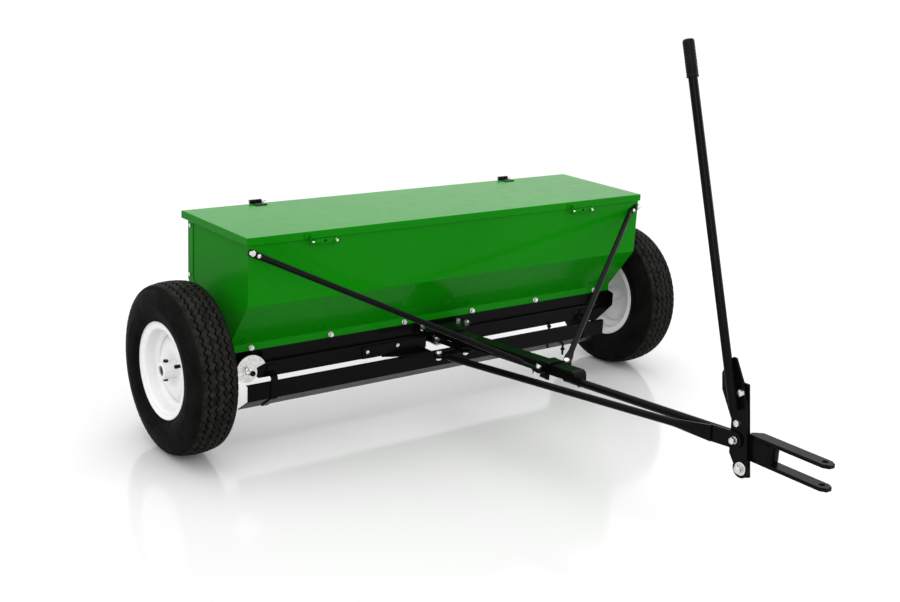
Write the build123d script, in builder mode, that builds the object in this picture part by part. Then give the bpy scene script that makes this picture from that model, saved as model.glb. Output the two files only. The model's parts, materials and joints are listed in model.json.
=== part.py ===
"""Tow-behind drop spreader: a hopper on two wheels, metered by a ground-driven rotor.

Millimetres, +Z up. Lengths are worked out from the axle: x = 0 is the middle of the machine,
y = 0 is the axle line, z = 0 is the floor, and the tongue points towards -Y. Left and right are
as seen by somebody who looks at the front of the machine. save() hands each piece over with the
origin on the floor under the middle of the whole machine.
"""
from build123d import *
from math import asin, atan2, cos, degrees, hypot, radians, sin, tan
import os

os.makedirs("parts", exist_ok=True)

# ---------------------------------------------------------------- driving dimensions
TRACK = 1425.0            # between the two wheels' centre planes
TYRE_R = 207.0            # 4.80/4.00-8 tyre
TYRE_W = 118.0
RIM_R = 117.0             # outside of the rim's flanges
RIM_W = 95.0              # over the rim's two flanges
HUB_R, HUB_REACH = 21.0, 49.5
AXLE_R = 12.7             # 1 in shaft
FIT = 0.05                # radial clearance of a running fit

HALF_W = 619.0            # hopper's half width over its sheets
SHEET = 2.0
FRONT_Y, REAR_Y = -153.0, 142.0
RIM_Z, BEND_Z, SLOPE_END_Z, LIP_Z = 540.0, 381.0, 263.0, 244.8
LIP_Y = 66.0              # the slopes end this far in front of and behind the axle
END_PLATE = 2.5

LID_X, LID_FRONT, LID_REAR, LID_TOP = 624.0, -156.0, 167.0, 545.0
LID_SHEET, LID_SKIRT = 1.5, 18.0
HINGE_Y, HINGE_Z = 172.0, 549.0
HINGE_XS = (-418.0, 392.0)

PAN_SHEET, PAN_FLOOR_Z, PAN_FLOOR_Y, PAN_KNEE_Z = 2.5, 182.0, 38.0, 206.0
PORTS, PORT_PITCH, PORT_R = 12, 100.0, 10.0
GATE_T, GATE_HALF_W, GATE_TOP_Z = 3.0, 25.0, 181.5

BOARD_X, BOARD_Y, BOARD_TOP_Z, BOARD_BEND_Z = 583.0, -94.0, 166.5, 125.5
BOARD_TAIL_Y, BOARD_TAIL_Z = -47.0, 92.0

TONGUE_SLOPE = 3.9        # degrees, rising towards the front
TONGUE_REF_Y, TONGUE_REF_Z = -460.0, 254.0      # a point on top of the channel
CHANNEL_W, CHANNEL_H, CHANNEL_T = 38.0, 25.0, 3.0
CHANNEL_REAR_Y, CHANNEL_NOSE_Y = -78.0, -613.0
TUBE_R, TUBE_WALL, TUBE_DROP = 9.5, 2.5, 27.0

FORK_W, FORK_T, FORK_REAR_Y, FORK_TIP_Y = 30.0, 8.0, -1124.0, -1318.0
FORK_LOW_Z, FORK_HIGH_Z = 234.0, 282.0          # undersides of the two bars
HITCH_PIN_Y, HITCH_R = -1300.0, 6.5

LEVER_X = -24.0           # inner face of the lever plate
LEVER_PIVOT = (-1123.0, 216.0)                  # (y, z)
ROD_PIVOT = (-1103.0, 272.0)
LEVER_SWING = 25.0
HANDLE_FOOT, HANDLE_TOP = (-1098.0, 335.0), (-877.0, 1052.0)
HANDLE_X, HANDLE_R = -38.2, 9.5

CRANK_X, CRANK_Y, CRANK_Z, CRANK_T = 6.0, -178.0, 188.0, 4.0
ROD_ARM, GATE_ARM = 96.0, 108.0
CAM_X, CAM_Z, CAM_MIN_R, CAM_MAX_R = -573.0, 199.0, 19.5, 45.0

STRUT_BEND, STRUT_FOOT = (590.0, -155.8, 499.5), (47.0, -515.0, 250.0)
STRUT_R = 7.2
STRUT_BOLTS = ((613.0, 511.0, 4.0, 13.0), (596.0, 502.7, 3.0, 9.0))   # x, z, radius, across flats
LIP_BOLT_PITCH = 224.0
LIP_BOLT_Z = 252.0

# the rod moves this far back while the lever swings, and turns the crank by this angle
ROD_REACH = (ROD_PIVOT[0] - LEVER_PIVOT[0], ROD_PIVOT[1] - LEVER_PIVOT[1])
ROD_TRAVEL = (ROD_REACH[0] * (cos(radians(LEVER_SWING)) - 1) + ROD_REACH[1] * sin(radians(LEVER_SWING)))
CRANK_SWING = 2 * degrees(asin(ROD_TRAVEL / 2 / ROD_ARM))
half_swing = radians(CRANK_SWING / 2)
ROD_PIN = (CRANK_X - ROD_ARM * cos(half_swing), CRANK_Y - ROD_ARM * sin(half_swing))
GATE_PIN = (CRANK_X - GATE_ARM * sin(half_swing), CRANK_Y + GATE_ARM * cos(half_swing))
GATE_TRAVEL = 2 * GATE_ARM * sin(half_swing)

OVERALL_Y = TYRE_R - FORK_TIP_Y
AXLE_Y = OVERALL_Y / 2 - TYRE_R                 # the axle's place in the finished frame


# ---------------------------------------------------------------- helpers
def save(piece, label):
    """Move a finished piece to the machine's own origin, name it and write it."""
    piece.part.label = label
    piece.part.move(Location((0, AXLE_Y, 0)))
    export_step(piece.part, f"parts/{label}.step")


def folded(plane, points, thickness, radius=3.0, side=Side.LEFT):
    """Section of a folded sheet: a polyline with rounded bends and a constant thickness."""
    with BuildSketch(plane) as section:
        with BuildLine():
            FilletPolyline(*points, radius=radius)
            offset(amount=thickness, side=side)
        make_face()
    return section.sketch


def outline(plane, points):
    """A straight-sided face through the points."""
    with BuildSketch(plane) as face:
        with BuildLine():
            Polyline(*points, close=True)
        make_face()
    return face.sketch


def discs(plane, points, radius):
    """Equal round faces at the points."""
    with BuildSketch(plane) as faces:
        with Locations(*points):
            Circle(radius)
    return faces.sketch


def bolt(origin, direction, shank_r, grip, across, washer_r=0.0, nut=True):
    """A hexagon bolt through a stack of thickness grip. origin is under its head, on the surface,
    and direction points out of the surface."""
    seat = Plane(origin=origin, z_dir=direction)
    under = 1.5 if washer_r else 0.0
    head = 0.66 * across * 0.9
    with BuildPart() as fastener:
        if washer_r:
            with BuildSketch(seat):
                Circle(washer_r)
            extrude(amount=under)
        with BuildSketch(seat.offset(under)):
            RegularPolygon(radius=across / 2, side_count=6, major_radius=False)
        extrude(amount=head)
        with BuildSketch(seat):
            Circle(shank_r)
        extrude(amount=-(grip + (head + 2.0 if nut else 0.0)))
        if nut:
            with BuildSketch(seat.offset(-grip)):
                RegularPolygon(radius=across / 2, side_count=6, major_radius=False)
            extrude(amount=-head)
    return fastener.part


def mirrored_x(part):
    """The same piece on the other side of the machine."""
    return mirror(part, about=Plane.YZ, mode=Mode.PRIVATE)


def tongue_top(y):
    """Height of the tongue channel's top face at y."""
    return TONGUE_REF_Z + (TONGUE_REF_Y - y) * tan(radians(TONGUE_SLOPE))


def tongue_plane(y, drop=0.0):
    """Section plane of the tongue at y: local x across, local y up, normal towards the hitch."""
    forward = (0, -cos(radians(TONGUE_SLOPE)), sin(radians(TONGUE_SLOPE)))
    plane = Plane(origin=(0, y, tongue_top(y)), x_dir=(1, 0, 0), z_dir=forward)
    return Plane(origin=plane.from_local_coords((0, -drop, 0)), x_dir=(1, 0, 0), z_dir=forward)


# ---------------------------------------------------------------- hopper
lip_bolt_xs = [LIP_BOLT_PITCH * (i - 2.5) for i in range(6)]
lip_points = [(x, LIP_BOLT_Z) for x in lip_bolt_xs]
rim_shelf = 14.0

with BuildPart() as front_panel:
    front_line = [
        (FRONT_Y + rim_shelf, RIM_Z), (FRONT_Y, RIM_Z), (FRONT_Y, BEND_Z),
        (-LIP_Y, SLOPE_END_Z), (-LIP_Y, LIP_Z),
    ]
    extrude(folded(Plane.YZ.offset(-HALF_W), front_line, SHEET), amount=2 * HALF_W)
    extrude(discs(Plane.XZ.offset(LIP_Y - SHEET / 2), lip_points, 3.1), amount=5, both=True, mode=Mode.SUBTRACT)
    for x, z, shank_r, across in STRUT_BOLTS:
        holes = discs(Plane.XZ.offset(-FRONT_Y), [(-x, z), (x, z)], shank_r + FIT)
        extrude(holes, amount=5, both=True, mode=Mode.SUBTRACT)
save(front_panel, "front_panel")

rear_flange = 24.0
rear_half_w = HALF_W - SHEET
with BuildPart() as rear_panel:
    rear_line = [
        (REAR_Y - rim_shelf, RIM_Z), (REAR_Y, RIM_Z), (REAR_Y, BEND_Z),
        (LIP_Y, SLOPE_END_Z), (LIP_Y, LIP_Z),
    ]
    section = folded(Plane.YZ.offset(-rear_half_w), rear_line, SHEET, side=Side.RIGHT)
    extrude(section, amount=2 * rear_half_w)
    extrude(discs(Plane.XZ.offset(-LIP_Y + SHEET / 2), lip_points, 3.1), amount=5, both=True, mode=Mode.SUBTRACT)
    flange_line = [
        (REAR_Y, LID_TOP - LID_SKIRT - 2), (REAR_Y, BEND_Z), (REAR_Y - 58, BEND_Z - 90),
        (REAR_Y - 78, BEND_Z - 76), (REAR_Y - rear_flange, BEND_Z + 6), (REAR_Y - rear_flange, LID_TOP - LID_SKIRT - 2),
    ]
    for x in (-HALF_W, rear_half_w):
        extrude(outline(Plane.YZ.offset(x), flange_line), amount=SHEET)
save(rear_panel, "rear_panel")

plate_gap = 0.25
with BuildPart() as right_end_plate:
    hopper_side = [
        (FRONT_Y, RIM_Z), (FRONT_Y, BEND_Z), (-LIP_Y, SLOPE_END_Z), (-LIP_Y, LIP_Z),
        (LIP_Y, LIP_Z), (LIP_Y, SLOPE_END_Z), (REAR_Y, BEND_Z), (REAR_Y, RIM_Z),
    ]
    with BuildSketch(Plane.YZ.offset(rear_half_w - END_PLATE)):
        with BuildLine():
            Polyline(*hopper_side, close=True)
        make_face()
        offset(amount=-(SHEET + plate_gap), kind=Kind.INTERSECTION)
    extrude(amount=END_PLATE)
    pan_side = [
        (-LIP_Y + 5.5, LIP_Z + 10), (-LIP_Y + 5.5, PAN_KNEE_Z), (-PAN_FLOOR_Y, PAN_FLOOR_Z),
        (PAN_FLOOR_Y, PAN_FLOOR_Z), (LIP_Y - 5.5, PAN_KNEE_Z), (LIP_Y - 5.5, LIP_Z + 10),
    ]
    extrude(outline(Plane.YZ.offset(rear_half_w - END_PLATE), pan_side), amount=END_PLATE)
    extrude(discs(Plane.YZ.offset(rear_half_w), [(0, TYRE_R)], AXLE_R + 2), amount=5, both=True, mode=Mode.SUBTRACT)
with BuildPart() as left_end_plate:
    add(mirrored_x(right_end_plate.part))
save(left_end_plate, "left_end_plate")
save(right_end_plate, "right_end_plate")

# ---------------------------------------------------------------- lid and its hinges
with BuildPart() as lid:
    with BuildSketch(Plane.XY.offset(LID_TOP - LID_SKIRT)):
        with Locations((0, (LID_FRONT + LID_REAR) / 2)):
            Rectangle(2 * LID_X, LID_REAR - LID_FRONT)
    extrude(amount=LID_SKIRT)
    fillet(lid.edges().group_by(Axis.Z)[-1], radius=2.0)
    offset(amount=-LID_SHEET, openings=lid.faces().sort_by(Axis.Z)[0])
save(lid, "lid")

leaf_half, knuckle_r, knuckle_half, pin_r = 16.5, 5.0, 7.7, 2.5
leaf_z = LID_TOP + 0.1
with BuildPart() as lid_hinge_leaves:
    for x in HINGE_XS:
        with BuildSketch(Plane.XY.offset(leaf_z)):
            with Locations((x, HINGE_Y - 21)):
                Rectangle(2 * leaf_half, 24)
        extrude(amount=2.5)
        with BuildSketch(Plane.XY.offset(leaf_z)):
            with Locations((x, HINGE_Y - 6)):
                Rectangle(2 * knuckle_half, 10)
        extrude(amount=2.5)
        with BuildSketch(Plane.YZ.offset(x - knuckle_half)):
            with Locations((HINGE_Y, HINGE_Z)):
                Circle(knuckle_r)
                Circle(pin_r + FIT, mode=Mode.SUBTRACT)
        extrude(amount=2 * knuckle_half)
    extrude(discs(Plane.YZ.offset(-HALF_W), [(HINGE_Y, HINGE_Z)], pin_r + FIT), amount=2 * HALF_W, mode=Mode.SUBTRACT)
save(lid_hinge_leaves, "lid_hinge_leaves")

bracket_t = 2.5
with BuildPart() as lid_hinge_brackets:
    bracket_line = [
        (REAR_Y + 0.1, LID_TOP - 65), (REAR_Y + 0.1, LID_TOP - 30), (HINGE_Y - 2.6, LID_TOP - 30),
        (HINGE_Y - 2.6, HINGE_Z - 3.5),
    ]
    for x in HINGE_XS:
        bracket_section = folded(Plane.YZ.offset(x - leaf_half), bracket_line, bracket_t, 2.0, Side.RIGHT)
        extrude(bracket_section, amount=2 * leaf_half)
        with BuildSketch(Plane.YZ.offset(x - leaf_half)):
            with Locations((HINGE_Y, HINGE_Z)):
                Circle(knuckle_r)
        extrude(amount=2 * leaf_half)
    for x in HINGE_XS:
        with BuildSketch(Plane.YZ.offset(x - knuckle_half - 0.5)):
            with Locations((HINGE_Y - 0.5, HINGE_Z)):
                Rectangle(2 * knuckle_r + 2, 2 * knuckle_r + 2)
        extrude(amount=2 * knuckle_half + 1, mode=Mode.SUBTRACT)
    extrude(discs(Plane.YZ.offset(-HALF_W), [(HINGE_Y, HINGE_Z)], pin_r + FIT), amount=2 * HALF_W, mode=Mode.SUBTRACT)
save(lid_hinge_brackets, "lid_hinge_brackets")

with BuildPart() as lid_hinge_pins:
    for x in HINGE_XS:
        extrude(discs(Plane.YZ.offset(x - leaf_half - 2), [(HINGE_Y, HINGE_Z)], pin_r), amount=2 * leaf_half + 15)
save(lid_hinge_pins, "lid_hinge_pins")

# ---------------------------------------------------------------- latches under the lid's front skirt
latch_z, latch_t, latch_len = 519.5, 2.5, 68.0
latch_y = FRONT_Y - 2.5 - latch_t          # outer face of the sliding strap
latch_starts = {"left_latch": -448.5, "right_latch": 373.0}
slot_from, slot_len = 18.0, 12.0


def latch(start):
    """A strap that slides along X, with a nose on its left end and a knob on its right end."""
    with BuildPart() as strap:
        with BuildSketch(Plane.XZ.offset(-latch_y - latch_t)):
            with Locations((start + latch_len / 2, latch_z)):
                RectangleRounded(latch_len, 13.0, 3.0)
            with Locations((start + slot_from + slot_len / 2 + 3, latch_z)):
                SlotCenterToCenter(slot_len, 6.4, mode=Mode.SUBTRACT)
        extrude(amount=latch_t)
        with BuildSketch(Plane.YZ.offset(start - 7.0)):
            with Locations((latch_y - 1.0, latch_z)):
                Circle(2.6)
        extrude(amount=22.0)
        with BuildSketch(Plane.XZ.offset(-latch_y)):
            with Locations((start + latch_len - 9.0, latch_z)):
                Circle(4.5)
        extrude(amount=9.0)
        fillet(strap.edges().group_by(Axis.Y)[0], radius=1.5)
    return strap.part


for label, start in latch_starts.items():
    with BuildPart() as strap_latch:
        add(latch(start))
    save(strap_latch, label)

striker_x, striker_t = -11.0, 2.0
with BuildPart() as latch_strikers:
    for start in latch_starts.values():
        with BuildSketch(Plane.YZ.offset(start + striker_x - striker_t)):
            with Locations((LID_FRONT - 5.6, LID_TOP - 20.0)):
                Rectangle(10.8, 24.0)
            with Locations((latch_y + 1.0, latch_z)):
                Rectangle(10.0, 7.4, mode=Mode.SUBTRACT)
        extrude(amount=striker_t)
        with BuildSketch(Plane.XZ.offset(-LID_FRONT + 0.2)):
            with Locations((start + striker_x - 7.0, LID_TOP - 10.0)):
                Rectangle(14.0, 12.0)
        extrude(amount=striker_t)
save(latch_strikers, "latch_strikers")

# ---------------------------------------------------------------- feed pan, gate and rotor
pan_half = HALF_W - SHEET - END_PLATE - 0.3
port_xs = [PORT_PITCH * (i - (PORTS - 1) / 2) for i in range(PORTS)]
port_points = [(x, 0) for x in port_xs]
with BuildPart() as feed_pan:
    pan_y = LIP_Y - SHEET - 0.3
    pan_line = [
        (-pan_y, SLOPE_END_Z - 2), (-pan_y, PAN_KNEE_Z), (-PAN_FLOOR_Y, PAN_FLOOR_Z),
        (PAN_FLOOR_Y, PAN_FLOOR_Z), (pan_y, PAN_KNEE_Z), (pan_y, SLOPE_END_Z - 2),
    ]
    extrude(folded(Plane.YZ.offset(-pan_half), pan_line, PAN_SHEET), amount=2 * pan_half)
    extrude(discs(Plane.XY.offset(PAN_FLOOR_Z), port_points, PORT_R), amount=5, both=True, mode=Mode.SUBTRACT)
    extrude(discs(Plane.XZ, lip_points, 3.1), amount=LIP_Y + 5, both=True, mode=Mode.SUBTRACT)
save(feed_pan, "feed_pan")

lug_x, lug_y = GATE_PIN
gate_half = HALF_W - 30
with BuildPart() as slide_gate:
    with BuildSketch(Plane.XY.offset(GATE_TOP_Z - GATE_T)):
        Rectangle(2 * gate_half, 2 * GATE_HALF_W)
        with Locations((lug_x, (lug_y - 14 - GATE_HALF_W) / 2 + 1)):
            Rectangle(26, -(lug_y - 14) - GATE_HALF_W + 2)
        with Locations(*port_points):
            Circle(PORT_R, mode=Mode.SUBTRACT)
        with Locations(Location((lug_x, lug_y), 90)):
            SlotCenterToCenter(4, 10.4, mode=Mode.SUBTRACT)
    extrude(amount=GATE_T)
save(slide_gate, "slide_gate")

guide_line = [
    (GATE_HALF_W - 8, GATE_TOP_Z - GATE_T - 0.4), (GATE_HALF_W + 0.5, GATE_TOP_Z - GATE_T - 0.4),
    (GATE_HALF_W + 0.5, PAN_FLOOR_Z - 0.05), (GATE_HALF_W + 10, PAN_FLOOR_Z - 0.05),
    (GATE_HALF_W + 10, GATE_TOP_Z - GATE_T - 3.4), (GATE_HALF_W - 8, GATE_TOP_Z - GATE_T - 3.4),
]
front_guide_line = [(-y, z) for y, z in guide_line]
window = (lug_x - 17, lug_x + 17 + GATE_TRAVEL)     # the gate's lug passes here
with BuildPart() as gate_guides:
    extrude(outline(Plane.YZ.offset(-gate_half), guide_line), amount=2 * gate_half)
    extrude(outline(Plane.YZ.offset(-gate_half), front_guide_line), amount=window[0] + gate_half)
    extrude(outline(Plane.YZ.offset(window[1]), front_guide_line), amount=gate_half - window[1])
save(gate_guides, "gate_guides")

rail_half, rail_t, rail_y, rail_top, rail_foot = 560.0, 3.0, 74.0, 212.0, 174.5
notch_top = 204.5           # the crank and its pin pass under this edge of the front rail
guard_bolt_points = [(-233, 193), (-140, 197)]
with BuildPart() as frame_rails:
    rail_line = [(-pan_y - 0.3, rail_top), (-rail_y, rail_top), (-rail_y, rail_foot)]
    extrude(folded(Plane.YZ.offset(-rail_half), rail_line, rail_t), amount=2 * rail_half)
    with BuildSketch(Plane.XZ.offset(rail_y - rail_t / 2)):
        with Locations(((window[0] + window[1]) / 2, rail_foot)):
            Rectangle(window[1] - window[0] + 40, 2 * (notch_top - rail_foot))
        for end in (-1, 1):
            with Locations((end * rail_half, rail_foot)):
                Rectangle(40, 24, rotation=end * 45)
    extrude(amount=rail_t + 1, both=True, mode=Mode.SUBTRACT)
    mirror(about=Plane.XZ)
    guard_holes = discs(Plane.XZ.offset(rail_y - rail_t / 2), guard_bolt_points, 3.0 + FIT)
    extrude(guard_holes, amount=rail_t + 1, both=True, mode=Mode.SUBTRACT)
save(frame_rails, "frame_rails")

rotor_half, rotor_r, rotor_core, fin_t, FINS = 606.0, 20.0, 15.5, 3.0, 6
with BuildPart() as rotor:
    with BuildSketch(Plane.YZ.offset(-rotor_half)):
        with Locations((0, TYRE_R)):
            Circle(rotor_core)
            for i in range(FINS // 2):
                Rectangle(2 * rotor_r, fin_t, rotation=180 / (FINS // 2) * i)
            Circle(AXLE_R + 0.01, mode=Mode.SUBTRACT)
    extrude(amount=2 * rotor_half)
save(rotor, "rotor")

# ---------------------------------------------------------------- axle, bearings and end brackets
hub_end = TRACK / 2 + HUB_REACH
axle_left, axle_right = hub_end - 4.0, hub_end + 8.0
pin_x, pin_hole_r = hub_end - 13.0, 4.05
with BuildPart() as axle:
    with BuildSketch(Plane.YZ.offset(-axle_left)):
        with Locations((0, TYRE_R)):
            Circle(AXLE_R)
    extrude(amount=axle_left + axle_right)
    chamfer(axle.edges().filter_by(GeomType.CIRCLE), length=1.5)
    extrude(discs(Plane.XY, [(-pin_x, 0)], pin_hole_r), amount=TYRE_R + 30, mode=Mode.SUBTRACT)
save(axle, "axle")

bracket_x, bearing_plate = HALF_W + 0.3, 4.0
bearing_side = [
    (-58, 300), (58, 300), (58, LIP_Z - 1), (84, LIP_Z - 6), (84, 203), (16, 134), (-16, 134),
    (-84, 203), (-84, LIP_Z - 6), (-58, LIP_Z - 1),
]
with BuildPart() as right_bearing_bracket:
    extrude(outline(Plane.YZ.offset(bracket_x), bearing_side), amount=bearing_plate)
    extrude(discs(Plane.YZ.offset(bracket_x), [(0, TYRE_R)], AXLE_R + 6), amount=10, both=True, mode=Mode.SUBTRACT)
    bearing_bolt_points = [(-34, TYRE_R), (34, TYRE_R)]
    extrude(discs(Plane.YZ.offset(bracket_x), bearing_bolt_points, 4.1), amount=10, both=True, mode=Mode.SUBTRACT)
    fillet(right_bearing_bracket.edges().filter_by(Axis.X), radius=4)
with BuildPart() as left_bearing_bracket:
    add(mirrored_x(right_bearing_bracket.part))
save(left_bearing_bracket, "left_bearing_bracket")
save(right_bearing_bracket, "right_bearing_bracket")

bearing_x = bracket_x + bearing_plate + 0.1
with BuildPart() as right_bearing:
    with BuildSketch(Plane.YZ.offset(bearing_x)):
        with Locations((0, TYRE_R)):
            Circle(26)
            SlotCenterToCenter(68, 24)
            Circle(AXLE_R + FIT, mode=Mode.SUBTRACT)
        with Locations(*bearing_bolt_points):
            Circle(4.1, mode=Mode.SUBTRACT)
    extrude(amount=5)
    with BuildSketch(Plane.YZ.offset(bearing_x + 5)):
        with Locations((0, TYRE_R)):
            Circle(22)
            Circle(AXLE_R + FIT, mode=Mode.SUBTRACT)
    extrude(amount=9)
with BuildPart() as axle_bearings:
    add(right_bearing.part)
    add(mirrored_x(right_bearing.part))
save(axle_bearings, "axle_bearings")

# ---------------------------------------------------------------- wheels
well_r, seat_r, rim_t = 84.0, 100.5, 2.5
flange_in = RIM_W / 2 - 5
rim_line = [
    (RIM_W / 2, RIM_R), (flange_in, RIM_R - 4), (flange_in, seat_r), (17, seat_r - 3), (11, well_r),
    (-11, well_r), (-17, seat_r - 3), (-flange_in, seat_r), (-flange_in, RIM_R - 4), (-RIM_W / 2, RIM_R),
]
disc_line = [(6, well_r - rim_t + 0.4), (20, 64), (17, 42), (12, HUB_R + FIT)]
valve_reach, valve_angle = 70.0, 156.0          # from the wheel's centre, and above the -Y side
wheel_axis = Axis((0, 0, TYRE_R), (1, 0, 0))


def wheel_plane(side, inset=0.0):
    """Upright plane through a wheel's axis. Local x points outboard, from the wheel's middle."""
    return Plane(origin=(side * (TRACK / 2 + inset), 0, TYRE_R), x_dir=(side, 0, 0), z_dir=(0, -side, 0))


def valve_plane(side, height):
    """Plane across the valve stem, height outboard of the wheel's middle."""
    across, up = valve_reach * cos(radians(valve_angle)), valve_reach * sin(radians(valve_angle))
    return Plane(origin=(side * (TRACK / 2 + height), across, TYRE_R + up), z_dir=(side, 0, 0))


def make_rim(side):
    """Pressed rim: a barrel with a drop centre, and a dished disc welded inside it."""
    with BuildPart() as rim:
        with BuildSketch(wheel_plane(side)):
            with BuildLine():
                Polyline(*rim_line)
                offset(amount=rim_t, side=Side.LEFT, kind=Kind.INTERSECTION)
            make_face()
        revolve(axis=wheel_axis)
        with BuildSketch(wheel_plane(side)):
            with BuildLine():
                Polyline(*disc_line)
                offset(amount=rim_t, side=Side.LEFT, kind=Kind.INTERSECTION)
            make_face()
        revolve(axis=wheel_axis)
        with BuildSketch(valve_plane(side, 0)):
            Circle(4.6)
        extrude(amount=RIM_W / 2, mode=Mode.SUBTRACT)
        extrude(discs(Plane.YZ, [(0, TYRE_R)], HUB_R + FIT), amount=side * TRACK, mode=Mode.SUBTRACT)
    return rim.part


def make_tyre(side):
    """Hollow casing: bead, bulging sidewall, square shoulder and a slightly crowned tread."""
    bead, belly, shoulder, crown = flange_in - 0.4, TYRE_W / 2, (47.0, TYRE_R - 7), TYRE_R
    with BuildPart() as tyre:
        with BuildSketch(wheel_plane(side)):
            with BuildLine():
                outer = [(bead, RIM_R - 3.6), (51, RIM_R + 8), (belly, 152), (55.5, 182), shoulder]
                inner = [(bead - 13, RIM_R - 3.6), (43, 130), (49.5, 152), (46.5, 178), (37, TYRE_R - 17)]
                for edge in (1, -1):
                    wall = Spline(*[(edge * x, r) for x, r in outer])
                    lining = Spline(*[(edge * x, r) for x, r in inner])
                    heel_out, heel_in = (edge * bead, seat_r + 3.0), (edge * (bead - 2.6), seat_r + 0.4)
                    toe = (edge * (bead - 13), seat_r + 0.4)
                    Polyline(wall @ 0, heel_out, heel_in, toe, lining @ 0)
                ThreePointArc(shoulder, (0, crown), (-shoulder[0], shoulder[1]))
                ThreePointArc((37, TYRE_R - 17), (0, TYRE_R - 10), (-37, TYRE_R - 17))
            make_face()
        revolve(axis=wheel_axis)
    return tyre.part


def make_hub(side, pinned):
    """Hub tube, with a cross hole where the drive pin goes through."""
    with BuildPart() as hub:
        with BuildSketch(Plane.YZ.offset(side * (TRACK / 2) - HUB_REACH)):
            with Locations((0, TYRE_R)):
                Circle(HUB_R)
                Circle(AXLE_R + FIT, mode=Mode.SUBTRACT)
        extrude(amount=2 * HUB_REACH)
        chamfer(hub.edges().filter_by(GeomType.CIRCLE), length=1.0)
        if pinned:
            extrude(discs(Plane.XY, [(side * pin_x, 0)], pin_hole_r), amount=TYRE_R + HUB_R + 5, mode=Mode.SUBTRACT)
    return hub.part


def make_valve(side):
    """Snap-in valve stem: a button against the disc, the stem and a screwed cap."""
    with BuildPart() as valve:
        for height, length, radius in ((22.9, 4, 6.5), (8, 30, 4.2), (38, 7, 4.8)):
            with BuildSketch(valve_plane(side, height)):
                Circle(radius)
            extrude(amount=length)
        fillet(valve.edges().group_by(Axis.X)[0 if side < 0 else -1], radius=1.5)
    return valve.part


for side, name in ((-1, "left"), (1, "right")):
    for maker, label in ((make_rim, "rim"), (make_tyre, "tyre"), (make_valve, "valve_stem")):
        with BuildPart() as wheel_piece:
            add(maker(side))
        save(wheel_piece, f"{name}_{label}")
    with BuildPart() as hub_piece:
        add(make_hub(side, pinned=side < 0))
    save(hub_piece, f"{name}_hub")

with BuildPart() as drive_pin:
    extrude(discs(Plane.XY.offset(TYRE_R - HUB_R - 2), [(-pin_x, 0)], 4.0), amount=2 * HUB_R + 4)
    for height, amount in ((TYRE_R + HUB_R + 0.1, 4.5), (TYRE_R - HUB_R - 0.1, -4.5)):
        with BuildSketch(Plane.XY.offset(height)):
            with Locations((-pin_x, 0)):
                RegularPolygon(radius=5.5, side_count=6, major_radius=False)
        extrude(amount=amount)
save(drive_pin, "drive_pin")

collar_x, collar_w, collar_r = bearing_x + 15.0, 10.0, 19.0
with BuildPart() as axle_collars:
    for x, width in ((collar_x, collar_w), (-collar_x - collar_w, collar_w), (hub_end + 0.4, 2.0)):
        with BuildSketch(Plane.YZ.offset(x)):
            with Locations((0, TYRE_R)):
                Circle(collar_r)
                Circle(AXLE_R + 0.02, mode=Mode.SUBTRACT)
        extrude(amount=width)
save(axle_collars, "axle_collars")

# ---------------------------------------------------------------- deflector board under the pan
stay_x, stay_y, stay_r = 386.0, -78.0, 3.2
hanging_x, hanging_y = 462.0, -60.0
tail_slope = (BOARD_TAIL_Z - BOARD_BEND_Z) / (BOARD_TAIL_Y - BOARD_Y)
stay_points = [(stay_x, stay_y), (hanging_x, hanging_y)]
with BuildPart() as deflector_board:
    board_line = [
        (BOARD_Y + 9, BOARD_TOP_Z), (BOARD_Y, BOARD_TOP_Z), (BOARD_Y, BOARD_BEND_Z), (BOARD_TAIL_Y, BOARD_TAIL_Z),
    ]
    extrude(folded(Plane.YZ.offset(-BOARD_X), board_line, SHEET), amount=2 * BOARD_X)
    extrude(discs(Plane.XY, stay_points, stay_r + FIT), amount=BOARD_BEND_Z, mode=Mode.SUBTRACT)
save(deflector_board, "deflector_board")

hanger_w, hanger_t, hanger_x, hanger_top = 18.0, 3.0, 512.0, 204.0
with BuildPart() as deflector_hangers:
    hanger_line = [
        (-rail_y - 0.1, hanger_top), (-rail_y - 0.1, 188), (BOARD_Y - 0.1, 178),
        (BOARD_Y - 0.1, BOARD_BEND_Z), (BOARD_TAIL_Y - 2, BOARD_TAIL_Z - 2 * tail_slope - 0.12),
    ]
    for x in (-hanger_x, hanger_x):
        extrude(folded(Plane.YZ.offset(x - hanger_w / 2), hanger_line, hanger_t, 3.0, Side.RIGHT), amount=hanger_w)
save(deflector_hangers, "deflector_hangers")

hanging_top = BOARD_BEND_Z + (hanging_y - BOARD_Y) * tail_slope + 12
with BuildPart() as deflector_stay:
    extrude(discs(Plane.XY.offset(107), [(stay_x, stay_y)], stay_r), amount=rail_foot + 8 - 107)
    extrude(discs(Plane.XY.offset(70), [(hanging_x, hanging_y)], stay_r), amount=hanging_top - 70)
    nuts = ((stay_x, stay_y, rail_foot - 6), (hanging_x, hanging_y, 84.0), (hanging_x, hanging_y, hanging_top))
    for x, y, z in nuts:
        with BuildSketch(Plane.XY.offset(z)):
            with Locations((x, y)):
                RegularPolygon(radius=5.5, side_count=6, major_radius=False)
        extrude(amount=5)
save(deflector_stay, "deflector_stay")

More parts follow.
